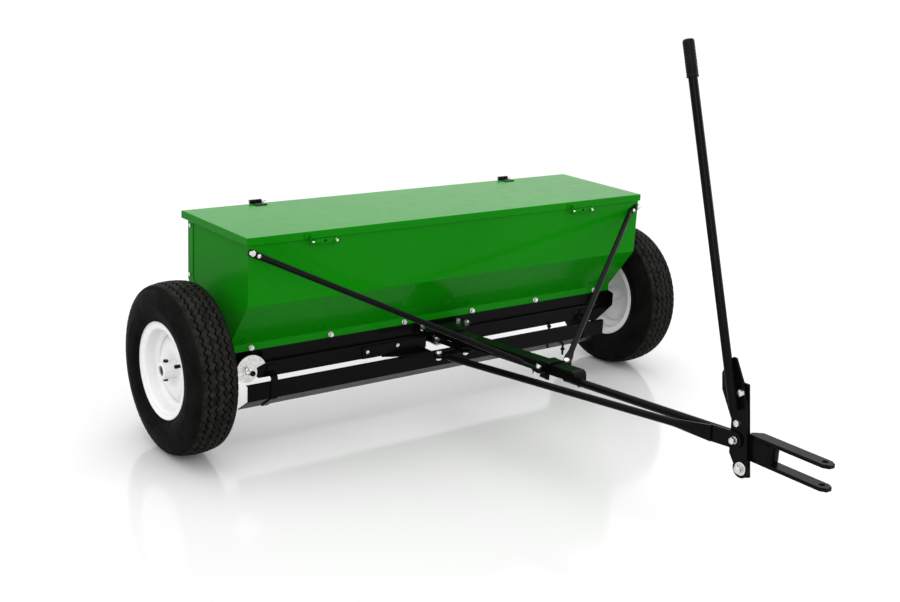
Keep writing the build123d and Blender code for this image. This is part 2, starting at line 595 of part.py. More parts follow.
guard_left, guard_right, guard_t = -245.0, -48.0, 3.0
foot_left, foot_corner, foot_front_y = -185.0, -125.0, -107.0
guard_y = -rail_y - 0.1
with BuildPart() as linkage_guard:
    with BuildSketch(Plane.XZ.offset(-guard_y)):
        with Locations(((guard_left + guard_right) / 2, rail_foot + 16)):
            Rectangle(guard_right - guard_left, 32)
        with Locations(*guard_bolt_points):
            Circle(3.0 + FIT, mode=Mode.SUBTRACT)
    extrude(amount=guard_t)
    with BuildSketch(Plane.XY.offset(rail_foot - guard_t)):
        with BuildLine():
            Polyline(
                (foot_left, guard_y), (foot_left, guard_y - guard_t - 1), (foot_corner, foot_front_y),
                (guard_right, foot_front_y), (guard_right, guard_y), close=True,
            )
        make_face()
    extrude(amount=guard_t + 0.05)
save(linkage_guard, "linkage_guard")

# ---------------------------------------------------------------- rate cam
cam_y, cam_t = -80.0, 3.0
cam_step = 19.0           # where the cam's edge steps in, in degrees above +X


def cam_point(turn):
    """Point of the cam's edge at a fraction of a turn past the step."""
    radius = CAM_MAX_R - (CAM_MAX_R - CAM_MIN_R) * turn
    angle = radians(cam_step + 360 * turn)
    return (CAM_X + radius * cos(angle), CAM_Z + radius * sin(angle))


with BuildPart() as rate_cam:
    with BuildSketch(Plane.XZ.offset(-cam_y)):
        with BuildLine():
            spiral = Spline(*[cam_point(i / 24) for i in range(25)])
            Line(spiral @ 1, spiral @ 0)
        make_face()
        with Locations((CAM_X, CAM_Z)):
            Circle(4.0 + FIT, mode=Mode.SUBTRACT)
    extrude(amount=cam_t)
save(rate_cam, "rate_cam")

with BuildPart() as cam_knob:
    with BuildSketch(Plane.XZ.offset(-cam_y + cam_t + 0.1)):
        with Locations((CAM_X, CAM_Z)):
            Circle(10)
            Circle(4.0 + FIT, mode=Mode.SUBTRACT)
    extrude(amount=4)
    with BuildSketch(Plane.XZ.offset(-cam_y + cam_t + 4.1)):
        with Locations((CAM_X, CAM_Z)):
            SlotCenterToCenter(12, 8, rotation=35)
            Circle(4.0 + FIT, mode=Mode.SUBTRACT)
    extrude(amount=8)
save(cam_knob, "cam_knob")

cam_plate_y = cam_y + 1.0
with BuildPart() as cam_bracket:
    with BuildSketch(Plane.XZ.offset(-cam_plate_y)):
        with Locations((CAM_X + 12, CAM_Z + 8)):
            RectangleRounded(56, 50, 5)
    extrude(amount=-3)
    with BuildSketch(Plane.XZ.offset(-cam_plate_y)):
        with Locations((CAM_X, CAM_Z)):
            Circle(4.0)
    extrude(amount=24)
    with BuildSketch(Plane.XZ.offset(-cam_plate_y + 18)):
        with Locations((CAM_X, CAM_Z)):
            RegularPolygon(radius=6, side_count=6, major_radius=False)
    extrude(amount=5)
    with BuildSketch(Plane.YZ.offset(CAM_X + 37)):
        with Locations((-71.5, 227)):
            Rectangle(15, 26)
    extrude(amount=3)
    with BuildSketch(Plane.XZ.offset(pan_y + 0.3)):
        with Locations((CAM_X + 12, 229)):
            Rectangle(56, 24)
    extrude(amount=3)
save(cam_bracket, "cam_bracket")

# ---------------------------------------------------------------- tongue
slope_cos = cos(radians(TONGUE_SLOPE))
channel_len = (CHANNEL_REAR_Y - CHANNEL_NOSE_Y) / slope_cos
nose_len, nose_r = 34.0, 13.0
with BuildPart() as tongue_channel:
    with BuildSketch(tongue_plane(CHANNEL_REAR_Y)):
        with Locations((0, -CHANNEL_H / 2)):
            Rectangle(CHANNEL_W, CHANNEL_H)
    extrude(amount=channel_len)
    upper_edges = tongue_channel.edges().sort_by(Axis.Y)[:4].sort_by(Axis.Z)[-1:]
    fillet(upper_edges, radius=nose_r)
    with BuildSketch(tongue_plane(CHANNEL_REAR_Y)):
        with Locations((0, -(CHANNEL_H + CHANNEL_T) / 2)):
            Rectangle(CHANNEL_W - 2 * CHANNEL_T, CHANNEL_H - CHANNEL_T)
    extrude(amount=channel_len - nose_len, mode=Mode.SUBTRACT)
    with BuildSketch(tongue_plane(CHANNEL_NOSE_Y, TUBE_DROP)):
        Circle(TUBE_R + 0.05)
    extrude(amount=70, both=True, mode=Mode.SUBTRACT)
save(tongue_channel, "tongue_channel")

tube_rear_y, tube_front_y = -563.0, FORK_REAR_Y + 3.5
with BuildPart() as tongue_tube:
    with BuildSketch(tongue_plane(tube_rear_y, TUBE_DROP)):
        Circle(TUBE_R)
        Circle(TUBE_R - TUBE_WALL, mode=Mode.SUBTRACT)
    extrude(amount=(tube_rear_y - tube_front_y) / slope_cos)
save(tongue_tube, "tongue_tube")

mount_half, mount_t, mount_front_y, mount_z = 75.0, 4.0, -150.0, 233.0
mount_bolts = [(-62, -79), (50, -86), (61, -108)]
with BuildPart() as tongue_mount:
    with BuildSketch(Plane.XY.offset(mount_z)):
        with BuildLine():
            Polyline(
                (-mount_half, -pan_y - 0.4), (mount_half, -pan_y - 0.4), (mount_half, -112),
                (24, mount_front_y), (-24, mount_front_y), (-mount_half, -112), close=True,
            )
        make_face()
    extrude(amount=mount_t)
    extrude(discs(Plane.XY.offset(mount_z), mount_bolts, 3.55), amount=10, mode=Mode.SUBTRACT)
    with BuildSketch(Plane.XZ.offset(pan_y + 0.4)):
        with Locations((0, (rail_top + 1 + mount_z) / 2)):
            Rectangle(2 * mount_half, mount_z - rail_top - 1)
    extrude(amount=mount_t)
save(tongue_mount, "tongue_mount")

strap_y, strap_w, strap_t = -108.0, 20.0, 3.0
strap_x, strap_ear = CHANNEL_W / 2 + 0.3, 40.0
strap_z = tongue_top(strap_y + strap_w / 2) - CHANNEL_H / slope_cos - 0.3
with BuildPart() as tongue_strap:
    strap_line = [
        (strap_ear, mount_z - 0.05), (strap_x, mount_z - 0.05), (strap_x, strap_z),
        (-strap_x, strap_z), (-strap_x, mount_z - 0.05), (-strap_ear, mount_z - 0.05),
    ]
    extrude(folded(Plane.XZ.offset(-strap_y - strap_w / 2), strap_line, strap_t, 1.0), amount=strap_w)
save(tongue_strap, "tongue_strap")

# ---------------------------------------------------------------- hitch fork
with BuildPart() as upper_fork_bar:
    with BuildSketch(Plane.XY.offset(FORK_HIGH_Z)):
        with BuildLine():
            Polyline(
                (-FORK_W / 2, FORK_REAR_Y), (-2, FORK_REAR_Y), (FORK_W / 2, FORK_REAR_Y - 14),
                (FORK_W / 2, FORK_TIP_Y + 12), (FORK_W / 2 - 8, FORK_TIP_Y), (-FORK_W / 2 + 8, FORK_TIP_Y),
                (-FORK_W / 2, FORK_TIP_Y + 12), close=True,
            )
        make_face()
        with Locations((0, HITCH_PIN_Y)):
            Circle(HITCH_R, mode=Mode.SUBTRACT)
    extrude(amount=FORK_T)
save(upper_fork_bar, "upper_fork_bar")

with BuildPart() as lower_fork_bar:
    with BuildSketch(Plane.XY.offset(FORK_LOW_Z)):
        with BuildLine():
            Polyline(
                (-FORK_W / 2, FORK_REAR_Y), (FORK_W / 2, FORK_REAR_Y),
                (FORK_W / 2, FORK_TIP_Y + 12), (FORK_W / 2 - 8, FORK_TIP_Y), (-FORK_W / 2 + 8, FORK_TIP_Y),
                (-FORK_W / 2, FORK_TIP_Y + 12), close=True,
            )
        make_face()
        with Locations((0, HITCH_PIN_Y)):
            Circle(HITCH_R, mode=Mode.SUBTRACT)
    extrude(amount=FORK_T)
save(lower_fork_bar, "lower_fork_bar")

block_len, block_low, block_high = 64.0, FORK_LOW_Z + FORK_T + 0.1, FORK_HIGH_Z - 0.1
post_x, post_t = -22.0, 4.0
with BuildPart() as clevis_block:
    with BuildSketch(Plane.XY.offset(block_low)):
        with Locations(((14 + post_x + post_t + 0.1) / 2, FORK_REAR_Y - block_len / 2)):
            Rectangle(14 - post_x - post_t - 0.1, block_len)
    extrude(amount=block_high - block_low)
    fillet(clevis_block.edges().filter_by(Axis.Z).sort_by(Axis.Y)[:2], radius=13.0)
save(clevis_block, "clevis_block")

# ---------------------------------------------------------------- post and lever
with BuildPart() as lever_post:
    with BuildSketch(Plane.YZ.offset(post_x)):
        with BuildLine():
            Polyline(
                (-1143, 202), (-1128, 196), (-1108, 204), (-1098, 240), (-1095, 393), (-1115, 393), close=True,
            )
        make_face()
        with Locations(LEVER_PIVOT):
            Circle(5.0 + FIT, mode=Mode.SUBTRACT)
    extrude(amount=post_t)
    with BuildSketch(Plane.YZ.offset(post_x)):
        with Locations(LEVER_PIVOT):
            Circle(11.0)
            Circle(5.0 + FIT, mode=Mode.SUBTRACT)
    extrude(amount=LEVER_X + 0.3 - post_x)
save(lever_post, "lever_post")

lever_t = 4.0
lever_stud_points = [(-1104.5, 309), (-1105, 374)]
with BuildPart() as lever_plate:
    with BuildSketch(Plane.YZ.offset(LEVER_X - lever_t)):
        with BuildLine():
            Polyline(
                (-1138, 228), (-1128, 300), (-1120, 350), (-1107, 393), (-1081, 440), (-1073, 440), (-1062, 428),
                (-1049, 400), (-1054, 366), (-1086, 311), (-1090, 240), (-1103, 222), close=True,
            )
        make_face()
        with Locations(LEVER_PIVOT):
            Circle(20.0)
        with Locations(LEVER_PIVOT):
            Circle(5.0 + FIT, mode=Mode.SUBTRACT)
        with Locations(ROD_PIVOT, *lever_stud_points):
            Circle(4.05, mode=Mode.SUBTRACT)
    extrude(amount=lever_t)
save(lever_plate, "lever_plate")

handle_run = (HANDLE_TOP[0] - HANDLE_FOOT[0], HANDLE_TOP[1] - HANDLE_FOOT[1])
handle_len = hypot(*handle_run)
handle_dir = (0, handle_run[0] / handle_len, handle_run[1] / handle_len)


def handle_plane(along):
    """Plane across the handle, at a distance up from its foot."""
    point = [a + along * d for a, d in zip((0, *HANDLE_FOOT), handle_dir)]
    return Plane(origin=(HANDLE_X, point[1], point[2]), x_dir=(1, 0, 0), z_dir=handle_dir)


grip_len, grip_r = 78.0, 12.8
with BuildPart() as handle_tube:
    with BuildSketch(handle_plane(0)):
        Circle(HANDLE_R)
        Circle(HANDLE_R - 2.0, mode=Mode.SUBTRACT)
    extrude(amount=handle_len - 6)
save(handle_tube, "handle_tube")

with BuildPart() as hand_grip:
    with BuildSketch(handle_plane(handle_len - grip_len)):
        Circle(grip_r)
    extrude(amount=grip_len)
    fillet(hand_grip.edges().group_by(Axis.Z)[-1], radius=6)
    with BuildSketch(handle_plane(handle_len - grip_len - 1)):
        Circle(HANDLE_R + 0.02)
    extrude(amount=grip_len - 4.9, mode=Mode.SUBTRACT)
save(hand_grip, "hand_grip")

# ---------------------------------------------------------------- control rod, crank and gate linkage
rod_r, eye_t, eye_r, eye_hole = 8.5, 4.5, 12.0, 6.5
flat_r, flat_len, taper_len = 18.0, 62.0, 100.0  # the flattened front end
eye_low = CRANK_Z + CRANK_T + 1.7
rod_front = Vector(LEVER_X - lever_t - 0.3 - eye_t / 2, *ROD_PIVOT)
rod_rear = Vector(*ROD_PIN, eye_low + eye_t / 2)
rod_dir = (rod_rear - rod_front).normalized()
rod_len = (rod_rear - rod_front).length


def rod_plane(along):
    """Plane across the control rod, at a distance behind its front bolt."""
    return Plane(origin=rod_front + rod_dir * along, x_dir=(1, 0, 0), z_dir=rod_dir)


with BuildPart() as control_rod:
    with BuildSketch(rod_plane(flat_len + taper_len)):
        Circle(rod_r)
    extrude(amount=rod_len - 46 - flat_len - taper_len)
    with BuildSketch(rod_plane(flat_len - 2)):
        Rectangle(eye_t - 0.4, 2 * flat_r - 0.6)
    with BuildSketch(rod_plane(flat_len + taper_len)):
        Circle(rod_r)
    loft()
    with BuildSketch(rod_plane(rod_len - 46)):
        Circle(rod_r)
    with BuildSketch(rod_plane(rod_len - 28)):
        Rectangle(2 * eye_r - 4, eye_t)
    loft()
    lean = atan2(rod_dir.Z, rod_dir.Y)
    run = (cos(lean), sin(lean))
    flat_middle = (ROD_PIVOT[0] + flat_len / 2 * run[0], ROD_PIVOT[1] + flat_len / 2 * run[1])
    with BuildSketch(Plane.YZ.offset(rod_front.X - eye_t / 2)):
        with Locations(flat_middle):
            SlotCenterToCenter(flat_len, 2 * flat_r, rotation=degrees(lean))
    extrude(amount=eye_t)
    with BuildSketch(Plane.YZ.offset(rod_front.X - 20)):
        with Locations(ROD_PIVOT):
            Circle(4.05)
    extrude(amount=40, mode=Mode.SUBTRACT)
    bearing = degrees(atan2(-rod_dir.Y, -rod_dir.X))
    with BuildSketch(Plane.XY.offset(eye_low)):
        with Locations((ROD_PIN[0] + 15 * cos(radians(bearing)), ROD_PIN[1] + 15 * sin(radians(bearing)))):
            SlotCenterToCenter(30, 2 * eye_r, rotation=bearing)
    extrude(amount=eye_t)
    extrude(discs(Plane.XY.offset(eye_low), [ROD_PIN], eye_hole), amount=20, both=True, mode=Mode.SUBTRACT)
save(control_rod, "control_rod")

with BuildPart() as bell_crank:
    with BuildSketch(Plane.XY.offset(CRANK_Z)):
        with Locations((CRANK_X, CRANK_Y)):
            Circle(19)
        for pin, arm in ((ROD_PIN, ROD_ARM), (GATE_PIN, GATE_ARM)):
            turn = degrees(atan2(pin[1] - CRANK_Y, pin[0] - CRANK_X))
            with Locations(((pin[0] + CRANK_X) / 2, (pin[1] + CRANK_Y) / 2)):
                SlotCenterToCenter(arm, 25, rotation=turn)
        with Locations((CRANK_X, CRANK_Y)):
            Circle(5.0 + FIT, mode=Mode.SUBTRACT)
        with Locations(ROD_PIN, GATE_PIN):
            Circle(4.0, mode=Mode.SUBTRACT)
    extrude(amount=CRANK_T)
save(bell_crank, "bell_crank")

bolt_top = eye_low + eye_t + 2.0
with BuildPart() as crank_pins:
    for pin, low, top in ((ROD_PIN, CRANK_Z - 7, bolt_top), (GATE_PIN, GATE_TOP_Z - GATE_T - 5, CRANK_Z + CRANK_T)):
        extrude(discs(Plane.XY.offset(low), [pin], 3.95), amount=top - low)
        with BuildSketch(Plane.XY.offset(top)):
            with Locations(pin):
                Circle(9)
        extrude(amount=1.2)
        with BuildSketch(Plane.XY.offset(top + 1.2)):
            with Locations(pin):
                RegularPolygon(radius=6.5, side_count=6, major_radius=False)
        extrude(amount=4.5)
    with BuildSketch(Plane.XY.offset(CRANK_Z - 6.2)):
        with Locations(ROD_PIN):
            RegularPolygon(radius=6.5, side_count=6, major_radius=False)
    extrude(amount=6)
save(crank_pins, "crank_pins")

plate_top = tongue_top(CRANK_Y + 28) - CHANNEL_H / slope_cos - 0.2
plate_t = 4.0
with BuildPart() as crank_bracket:
    with BuildSketch(Plane.XY.offset(plate_top - plate_t)):
        with Locations((0, CRANK_Y)):
            RectangleRounded(CHANNEL_W + 14, 56, 6)
        with Locations((CRANK_X, CRANK_Y)):
            Circle(5.05, mode=Mode.SUBTRACT)
    extrude(amount=plate_t)
    with BuildSketch(Plane.XY.offset(CRANK_Z + CRANK_T + 0.3)):
        with Locations((CRANK_X, CRANK_Y)):
            Circle(11)
            Circle(5.05, mode=Mode.SUBTRACT)
    extrude(amount=plate_top - plate_t - CRANK_Z - CRANK_T - 0.3)
save(crank_bracket, "crank_bracket")

# ---------------------------------------------------------------- struts from the hopper to the tongue
tab_t, tab_w, ear_t = 5.0, 20.0, 4.0
strut_run = Vector(*STRUT_FOOT) - Vector(*STRUT_BEND)
strut_dir, strut_len = strut_run.normalized(), strut_run.length
tab_run = Vector(strut_dir.X, 0, strut_dir.Z).normalized()     # the top end lies flat on the front panel
top_tab_w, bolt_reach, bend_len = 16.0, 25.4, 30.0


def square_to_strut(towards):
    """Direction nearest to towards that is square to the strut."""
    return (Vector(*towards) - strut_dir * Vector(*towards).dot(strut_dir)).normalized()


top_out, foot_out = square_to_strut((0, -1, 0)), square_to_strut((0, 0, 1))


def strut_point(along):
    return Vector(*STRUT_BEND) + strut_dir * along


def tab_plane(point, out, along=strut_dir):
    """Plane of a flattened strut end, with local x along the end."""
    return Plane(origin=point, x_dir=along, z_dir=out)


def cross_plane(point, out, along=strut_dir):
    """Plane across the strut, with local y along a flattened end's normal."""
    return Plane(origin=point, x_dir=along.cross(out) * -1, z_dir=along)


with BuildPart() as right_strut:
    with BuildSketch(Plane(origin=strut_point(bend_len), z_dir=strut_dir)):
        Circle(STRUT_R)
    extrude(amount=strut_len - bend_len - 46)
    panel_out = Vector(0, -1, 0)
    with BuildSketch(cross_plane(strut_point(0) - tab_run * 2, panel_out, tab_run)):
        Rectangle(top_tab_w - 1.0, tab_t - 0.6)
    with BuildSketch(cross_plane(strut_point(bend_len), top_out)):
        Circle(STRUT_R)
    loft()
    tab_middle = strut_point(0) - tab_run * bolt_reach / 2
    with BuildSketch(tab_plane(tab_middle, panel_out, tab_run).offset(-tab_t / 2)):
        SlotCenterToCenter(bolt_reach, top_tab_w)
    extrude(amount=tab_t)
    for x, z, shank_r, across in STRUT_BOLTS:
        extrude(discs(Plane.XZ.offset(-FRONT_Y), [(x, z)], shank_r + FIT), amount=12, mode=Mode.SUBTRACT)
    with BuildSketch(cross_plane(strut_point(strut_len - 46), foot_out)):
        Circle(STRUT_R)
    with BuildSketch(cross_plane(strut_point(strut_len - 24), foot_out)):
        Rectangle(tab_w - 1.0, tab_t - 0.6)
    loft()
    with BuildSketch(tab_plane(strut_point(strut_len - 12), foot_out).offset(-tab_t / 2)):
        SlotCenterToCenter(24, tab_w)
    extrude(amount=tab_t)
    with BuildSketch(tab_plane(strut_point(strut_len), foot_out)):
        Circle(4.05)
    extrude(amount=12, both=True, mode=Mode.SUBTRACT)
with BuildPart() as left_strut:
    add(mirrored_x(right_strut.part))
save(left_strut, "left_strut")
save(right_strut, "right_strut")

ear_gap = tab_t / 2 + 0.2
foot = Vector(*STRUT_FOOT)
inward = (Vector(-1, 0, 0) - foot_out * Vector(-1, 0, 0).dot(foot_out)).normalized()
saddle_half, saddle_t = 15.0, 4.0
saddle_top = tongue_top(STRUT_FOOT[1] - saddle_half) + 0.2
leg_x = CHANNEL_W / 2 + 0.2
with BuildPart() as strut_saddle:
    saddle_line = [
        (-leg_x, saddle_top - 38), (-leg_x, saddle_top), (leg_x, saddle_top), (leg_x, saddle_top - 38),
    ]
    saddle_section = folded(Plane.XZ.offset(-STRUT_FOOT[1] - saddle_half), saddle_line, saddle_t, 1.0)
    extrude(saddle_section, amount=2 * saddle_half)
    with BuildSketch(Plane(origin=foot + inward * 22, x_dir=inward, z_dir=foot_out).offset(-ear_gap - ear_t)):
        SlotCenterToCenter(44, 24)
    extrude(amount=ear_t)
    with BuildSketch(tab_plane(foot, foot_out)):
        Circle(4.05)
    extrude(amount=20, both=True, mode=Mode.SUBTRACT)
    with BuildSketch(Plane.XZ.offset(-STRUT_FOOT[1] - 40)):
        with Locations((0, saddle_top - 30)):
            Rectangle(2 * leg_x, 60)
    extrude(amount=80, mode=Mode.SUBTRACT)
    split(bisect_by=Plane.YZ, keep=Keep.TOP)
    mirror(about=Plane.YZ)
save(strut_saddle, "strut_saddle")


def both_sides(parts):
    """The given pieces and their mirror images."""
    return parts + [mirrored_x(piece) for piece in parts]


tab_face_y = FRONT_Y - 0.3 - tab_t - 0.05
top_bolts = [
    bolt((x, tab_face_y, z), (0, -1, 0), shank_r, FRONT_Y + SHEET - 0.3 - tab_face_y, across, nut=False)
    for x, z, shank_r, across in STRUT_BOLTS
]
foot_bolt = bolt(foot + foot_out * tab_t / 2, foot_out, 4.0, tab_t + ear_t + 0.4, 12)
with BuildPart() as strut_bolts:
    add(both_sides(top_bolts + [foot_bolt]))
save(strut_bolts, "strut_bolts")

# ---------------------------------------------------------------- fasteners
lip_grip = SHEET + PAN_SHEET + 0.4
with BuildPart() as lip_bolts:
    for side in (-1, 1):
        add([
            bolt((x, side * (LIP_Y + 0.05), LIP_BOLT_Z), (0, side, 0), 3.0, lip_grip, 10, washer_r=7.0)
            for x in lip_bolt_xs
        ])
save(lip_bolts, "lip_bolts")

screw_r, screw_h = 5.5, 2.4
front_slope = Vector(0, -LIP_Y - FRONT_Y, SLOPE_END_Z - BEND_Z).normalized()
rear_slope = Vector(0, LIP_Y - REAR_Y, SLOPE_END_Z - BEND_Z).normalized()
with BuildPart() as panel_screws:
    for end, slope, out_x in (((-LIP_Y, SLOPE_END_Z), front_slope, 1), ((LIP_Y, SLOPE_END_Z), rear_slope, -1)):
        seat = Vector(0, *end) - slope * 20
        outwards = slope.cross(Vector(out_x, 0, 0))
        for x in lip_bolt_xs:
            with BuildSketch(Plane(origin=seat + Vector(x - 26, 0, 0) + outwards * 0.05, z_dir=outwards)):
                Circle(screw_r)
            extrude(amount=screw_h)
    flange_screws = [
        (REAR_Y - 12, LID_TOP - LID_SKIRT - 12), (REAR_Y - 10, BEND_Z + 12), (REAR_Y - 24, BEND_Z - 20),
    ]
    for side in (-1, 1):
        for y, z in flange_screws:
            with BuildSketch(Plane.YZ.offset(side * (HALF_W + 0.05))):
                with Locations((y, z)):
                    Circle(screw_r - 0.5)
            extrude(amount=side * screw_h)
    for start in latch_starts.values():
        head_y = -latch_y + 0.4
        with BuildSketch(Plane.XZ.offset(head_y)):
            with Locations((start + slot_from + 3, latch_z)):
                Circle(5.0)
        extrude(amount=2.0)
        with BuildSketch(Plane.XZ.offset(-FRONT_Y + 0.05)):
            with Locations((start + slot_from + 3, latch_z)):
                Circle(2.8)
        extrude(amount=head_y + FRONT_Y + 0.1)
save(panel_screws, "panel_screws")

bearing_stack = bearing_plate + 5.1
lever_face = LEVER_X - lever_t
frame_bolt_list = [
    bolt((CRANK_X, CRANK_Y, plate_top + 0.05), (0, 0, 1), 5.0, plate_top - CRANK_Z + 0.6, 14),
    bolt((lever_face - 0.3, *LEVER_PIVOT), (-1, 0, 0), 5.0, post_x + post_t - lever_face + 0.35, 16, washer_r=14.0),
]
frame_bolt_list += [
    bolt((x, y, mount_z + mount_t + 0.05), (0, 0, 1), 3.5, mount_t + 0.1, 11) for x, y in mount_bolts
]
frame_bolt_list += [
    bolt((x, guard_y - guard_t - 0.05, z), (0, -1, 0), 3.0, 4.5, 9, nut=False) for x, z in guard_bolt_points
]
frame_bolt_list += both_sides([
    bolt((bearing_x + 5.05, y, z), (1, 0, 0), 4.0, bearing_stack - 9.3, 12, nut=False)
    for y, z in bearing_bolt_points
])
with BuildPart() as frame_bolts:
    add(frame_bolt_list)
save(frame_bolts, "frame_bolts")

with BuildPart() as lever_bolts:
    rod_bolt_face = rod_front.X - eye_t / 2 - 0.3
    add([
        bolt((rod_bolt_face, *ROD_PIVOT), (-1, 0, 0), 4.0, LEVER_X - rod_bolt_face - 0.5, 13, washer_r=8.0, nut=False),
    ] + [
        bolt((lever_face - 0.05, y, z), (-1, 0, 0), 4.0, lever_t - 0.5, 13, nut=False) for y, z in lever_stud_points
    ])
save(lever_bolts, "lever_bolts")
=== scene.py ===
"""Looks of the tow-behind drop spreader: finished materials, and finer meshes for the wheels, the
fasteners, the cam's scale, the lid's hem, the welds and the grip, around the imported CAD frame.
Metres, in the frame's own axes. Numbers named or described as mm are turned to metres by MM."""

import json
from math import cos, pi, radians, sin

import bpy
import numpy as np
from mathutils import Matrix, Vector


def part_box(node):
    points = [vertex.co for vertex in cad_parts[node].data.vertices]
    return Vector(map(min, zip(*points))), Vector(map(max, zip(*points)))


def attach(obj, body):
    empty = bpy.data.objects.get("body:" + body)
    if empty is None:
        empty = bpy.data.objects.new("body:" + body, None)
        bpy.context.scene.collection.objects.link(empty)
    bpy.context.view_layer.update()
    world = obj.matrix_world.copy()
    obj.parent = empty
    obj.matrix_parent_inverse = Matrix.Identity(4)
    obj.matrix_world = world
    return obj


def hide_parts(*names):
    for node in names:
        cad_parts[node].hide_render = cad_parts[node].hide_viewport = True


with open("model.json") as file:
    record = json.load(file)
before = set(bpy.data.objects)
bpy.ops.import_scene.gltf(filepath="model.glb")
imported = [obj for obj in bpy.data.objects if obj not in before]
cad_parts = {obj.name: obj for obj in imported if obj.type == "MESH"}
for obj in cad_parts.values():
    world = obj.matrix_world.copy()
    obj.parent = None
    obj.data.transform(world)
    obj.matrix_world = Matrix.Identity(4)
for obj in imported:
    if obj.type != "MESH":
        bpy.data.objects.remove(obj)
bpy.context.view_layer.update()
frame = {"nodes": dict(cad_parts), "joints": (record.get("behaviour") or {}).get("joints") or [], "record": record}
NODES = frame["nodes"]
BODY = {node: body for body, members in frame["record"]["behaviour"]["bodies"].items() for node in members}
SLOT = {part["node"]: part["material_slot"] for part in frame["record"]["subparts"]}
MM = 0.001
ALONG_X = Vector((1, 0, 0))
ALONG_Y = Vector((0, 1, 0))


# ---------------------------------------------------------------- materials
class Shader:
    """A node material with one Principled shader, and short calls for its textures."""

    def __init__(self, name, **sockets):
        self.material = bpy.data.materials.new(name)
        self.material.use_nodes = True
        self.tree = self.material.node_tree
        self.main = self.tree.nodes["Principled BSDF"]
        for socket, value in sockets.items():
            self.main.inputs[socket.replace("_", " ")].default_value = value
        self.place = self.tree.nodes.new("ShaderNodeTexCoord").outputs["Object"]

    def link(self, start, end):
        self.tree.links.new(start, end)

    def noise(self, scale, detail, stretch=None, roughness=0.5):
        """Noise in the object's own metres, with an optional stretch of the axes."""
        node = self.tree.nodes.new("ShaderNodeTexNoise")
        node.inputs["Scale"].default_value = scale
        node.inputs["Detail"].default_value = detail
        node.inputs["Roughness"].default_value = roughness
        if stretch:
            mapping = self.tree.nodes.new("ShaderNodeMapping")
            mapping.inputs["Scale"].default_value = stretch
            self.link(self.place, mapping.inputs["Vector"])
            self.link(mapping.outputs[0], node.inputs["Vector"])
        else:
            self.link(self.place, node.inputs["Vector"])
        return node.outputs["Fac"]

    def cells(self, scale):
        """Distance to the nearest of many scattered points."""
        node = self.tree.nodes.new("ShaderNodeTexVoronoi")
        node.inputs["Scale"].default_value = scale
        self.link(self.place, node.inputs["Vector"])
        return node.outputs["Distance"]

    def ramp(self, value, low, high, start=0.35, end=0.65):
        """value mapped from start..end to the colours low..high."""
        node = self.tree.nodes.new("ShaderNodeValToRGB")
        for element, where, colour in zip(node.color_ramp.elements, (start, end), (low, high)):
            element.position = where
            element.color = (*colour, 1)
        self.link(value, node.inputs["Fac"])
        return node.outputs["Color"]

    def colour(self, value, low, high):
        self.link(self.ramp(value, low, high), self.main.inputs["Base Color"])

    def roughness(self, value, low, high):
        """Roughness low..high over the middle of the noise's range, where most of it lies."""
        node = self.tree.nodes.new("ShaderNodeMapRange")
        node.inputs["From Min"].default_value = 0.3
        node.inputs["From Max"].default_value = 0.7
        node.inputs["To Min"].default_value = low
        node.inputs["To Max"].default_value = high
        self.link(value, node.inputs["Value"])
        self.link(node.outputs["Result"], self.main.inputs["Roughness"])

    def bump(self, value, height, strength, after=None):
        """Bump of this height in metres, on top of an earlier bump's result when one is given."""
        node = self.tree.nodes.new("ShaderNodeBump")
        node.inputs["Distance"].default_value = height
        node.inputs["Strength"].default_value = strength
        self.link(value, node.inputs["Height"])
        if after:
            self.link(after, node.inputs["Normal"])
        self.link(node.outputs["Normal"], self.main.inputs["Normal"])
        return node.outputs["Normal"]


def powder_coat(name, dark, light, rough, coat):
    """Powder coat: an even colour with faint clouding, and the slow ripple called orange peel."""
    shader = Shader(name, Coat_Weight=coat, Coat_IOR=1.2, Coat_Roughness=0.06, Specular_IOR_Level=0.025)
    shader.colour(shader.noise(3.0, 3), dark, light)
    shader.roughness(shader.noise(24.0, 3), rough[0], rough[1])
    peel = 0.03 * MM
    ripple = shader.bump(shader.noise(190.0, 1), peel, 0.16)
    shader.bump(shader.noise(1500.0, 1), peel * 0.08, 0.12, after=ripple)
    return shader.material


def plated(name, dark, light, rough):
    """Zinc plate: mottled and slightly cloudy, with fine scratches."""
    shader = Shader(name, Metallic=1.0)
    shader.colour(shader.noise(150.0, 6, roughness=0.7), dark, light)
    shader.roughness(shader.noise(420.0, 6, roughness=0.65), rough[0], rough[1])
    grain = 0.04 * MM
    spots = shader.bump(shader.cells(900.0), grain, 0.25)
    shader.bump(shader.noise(700.0, 3, stretch=(1, 1, 12)), grain, 0.3, after=spots)
    return shader.material


def drawn_steel(name, dark, light, rough):
    """Bare drawn steel: fine lines along the bar, which lies along X."""
    shader = Shader(name, Metallic=1.0)
    shader.colour(shader.noise(40.0, 5), dark, light)
    shader.roughness(shader.noise(90.0, 4, stretch=(0.3, 8, 8)), rough[0], rough[1])
    shader.bump(shader.noise(400.0, 3, stretch=(0.05, 6, 6)), 0.05 * MM, 0.4)
    return shader.material


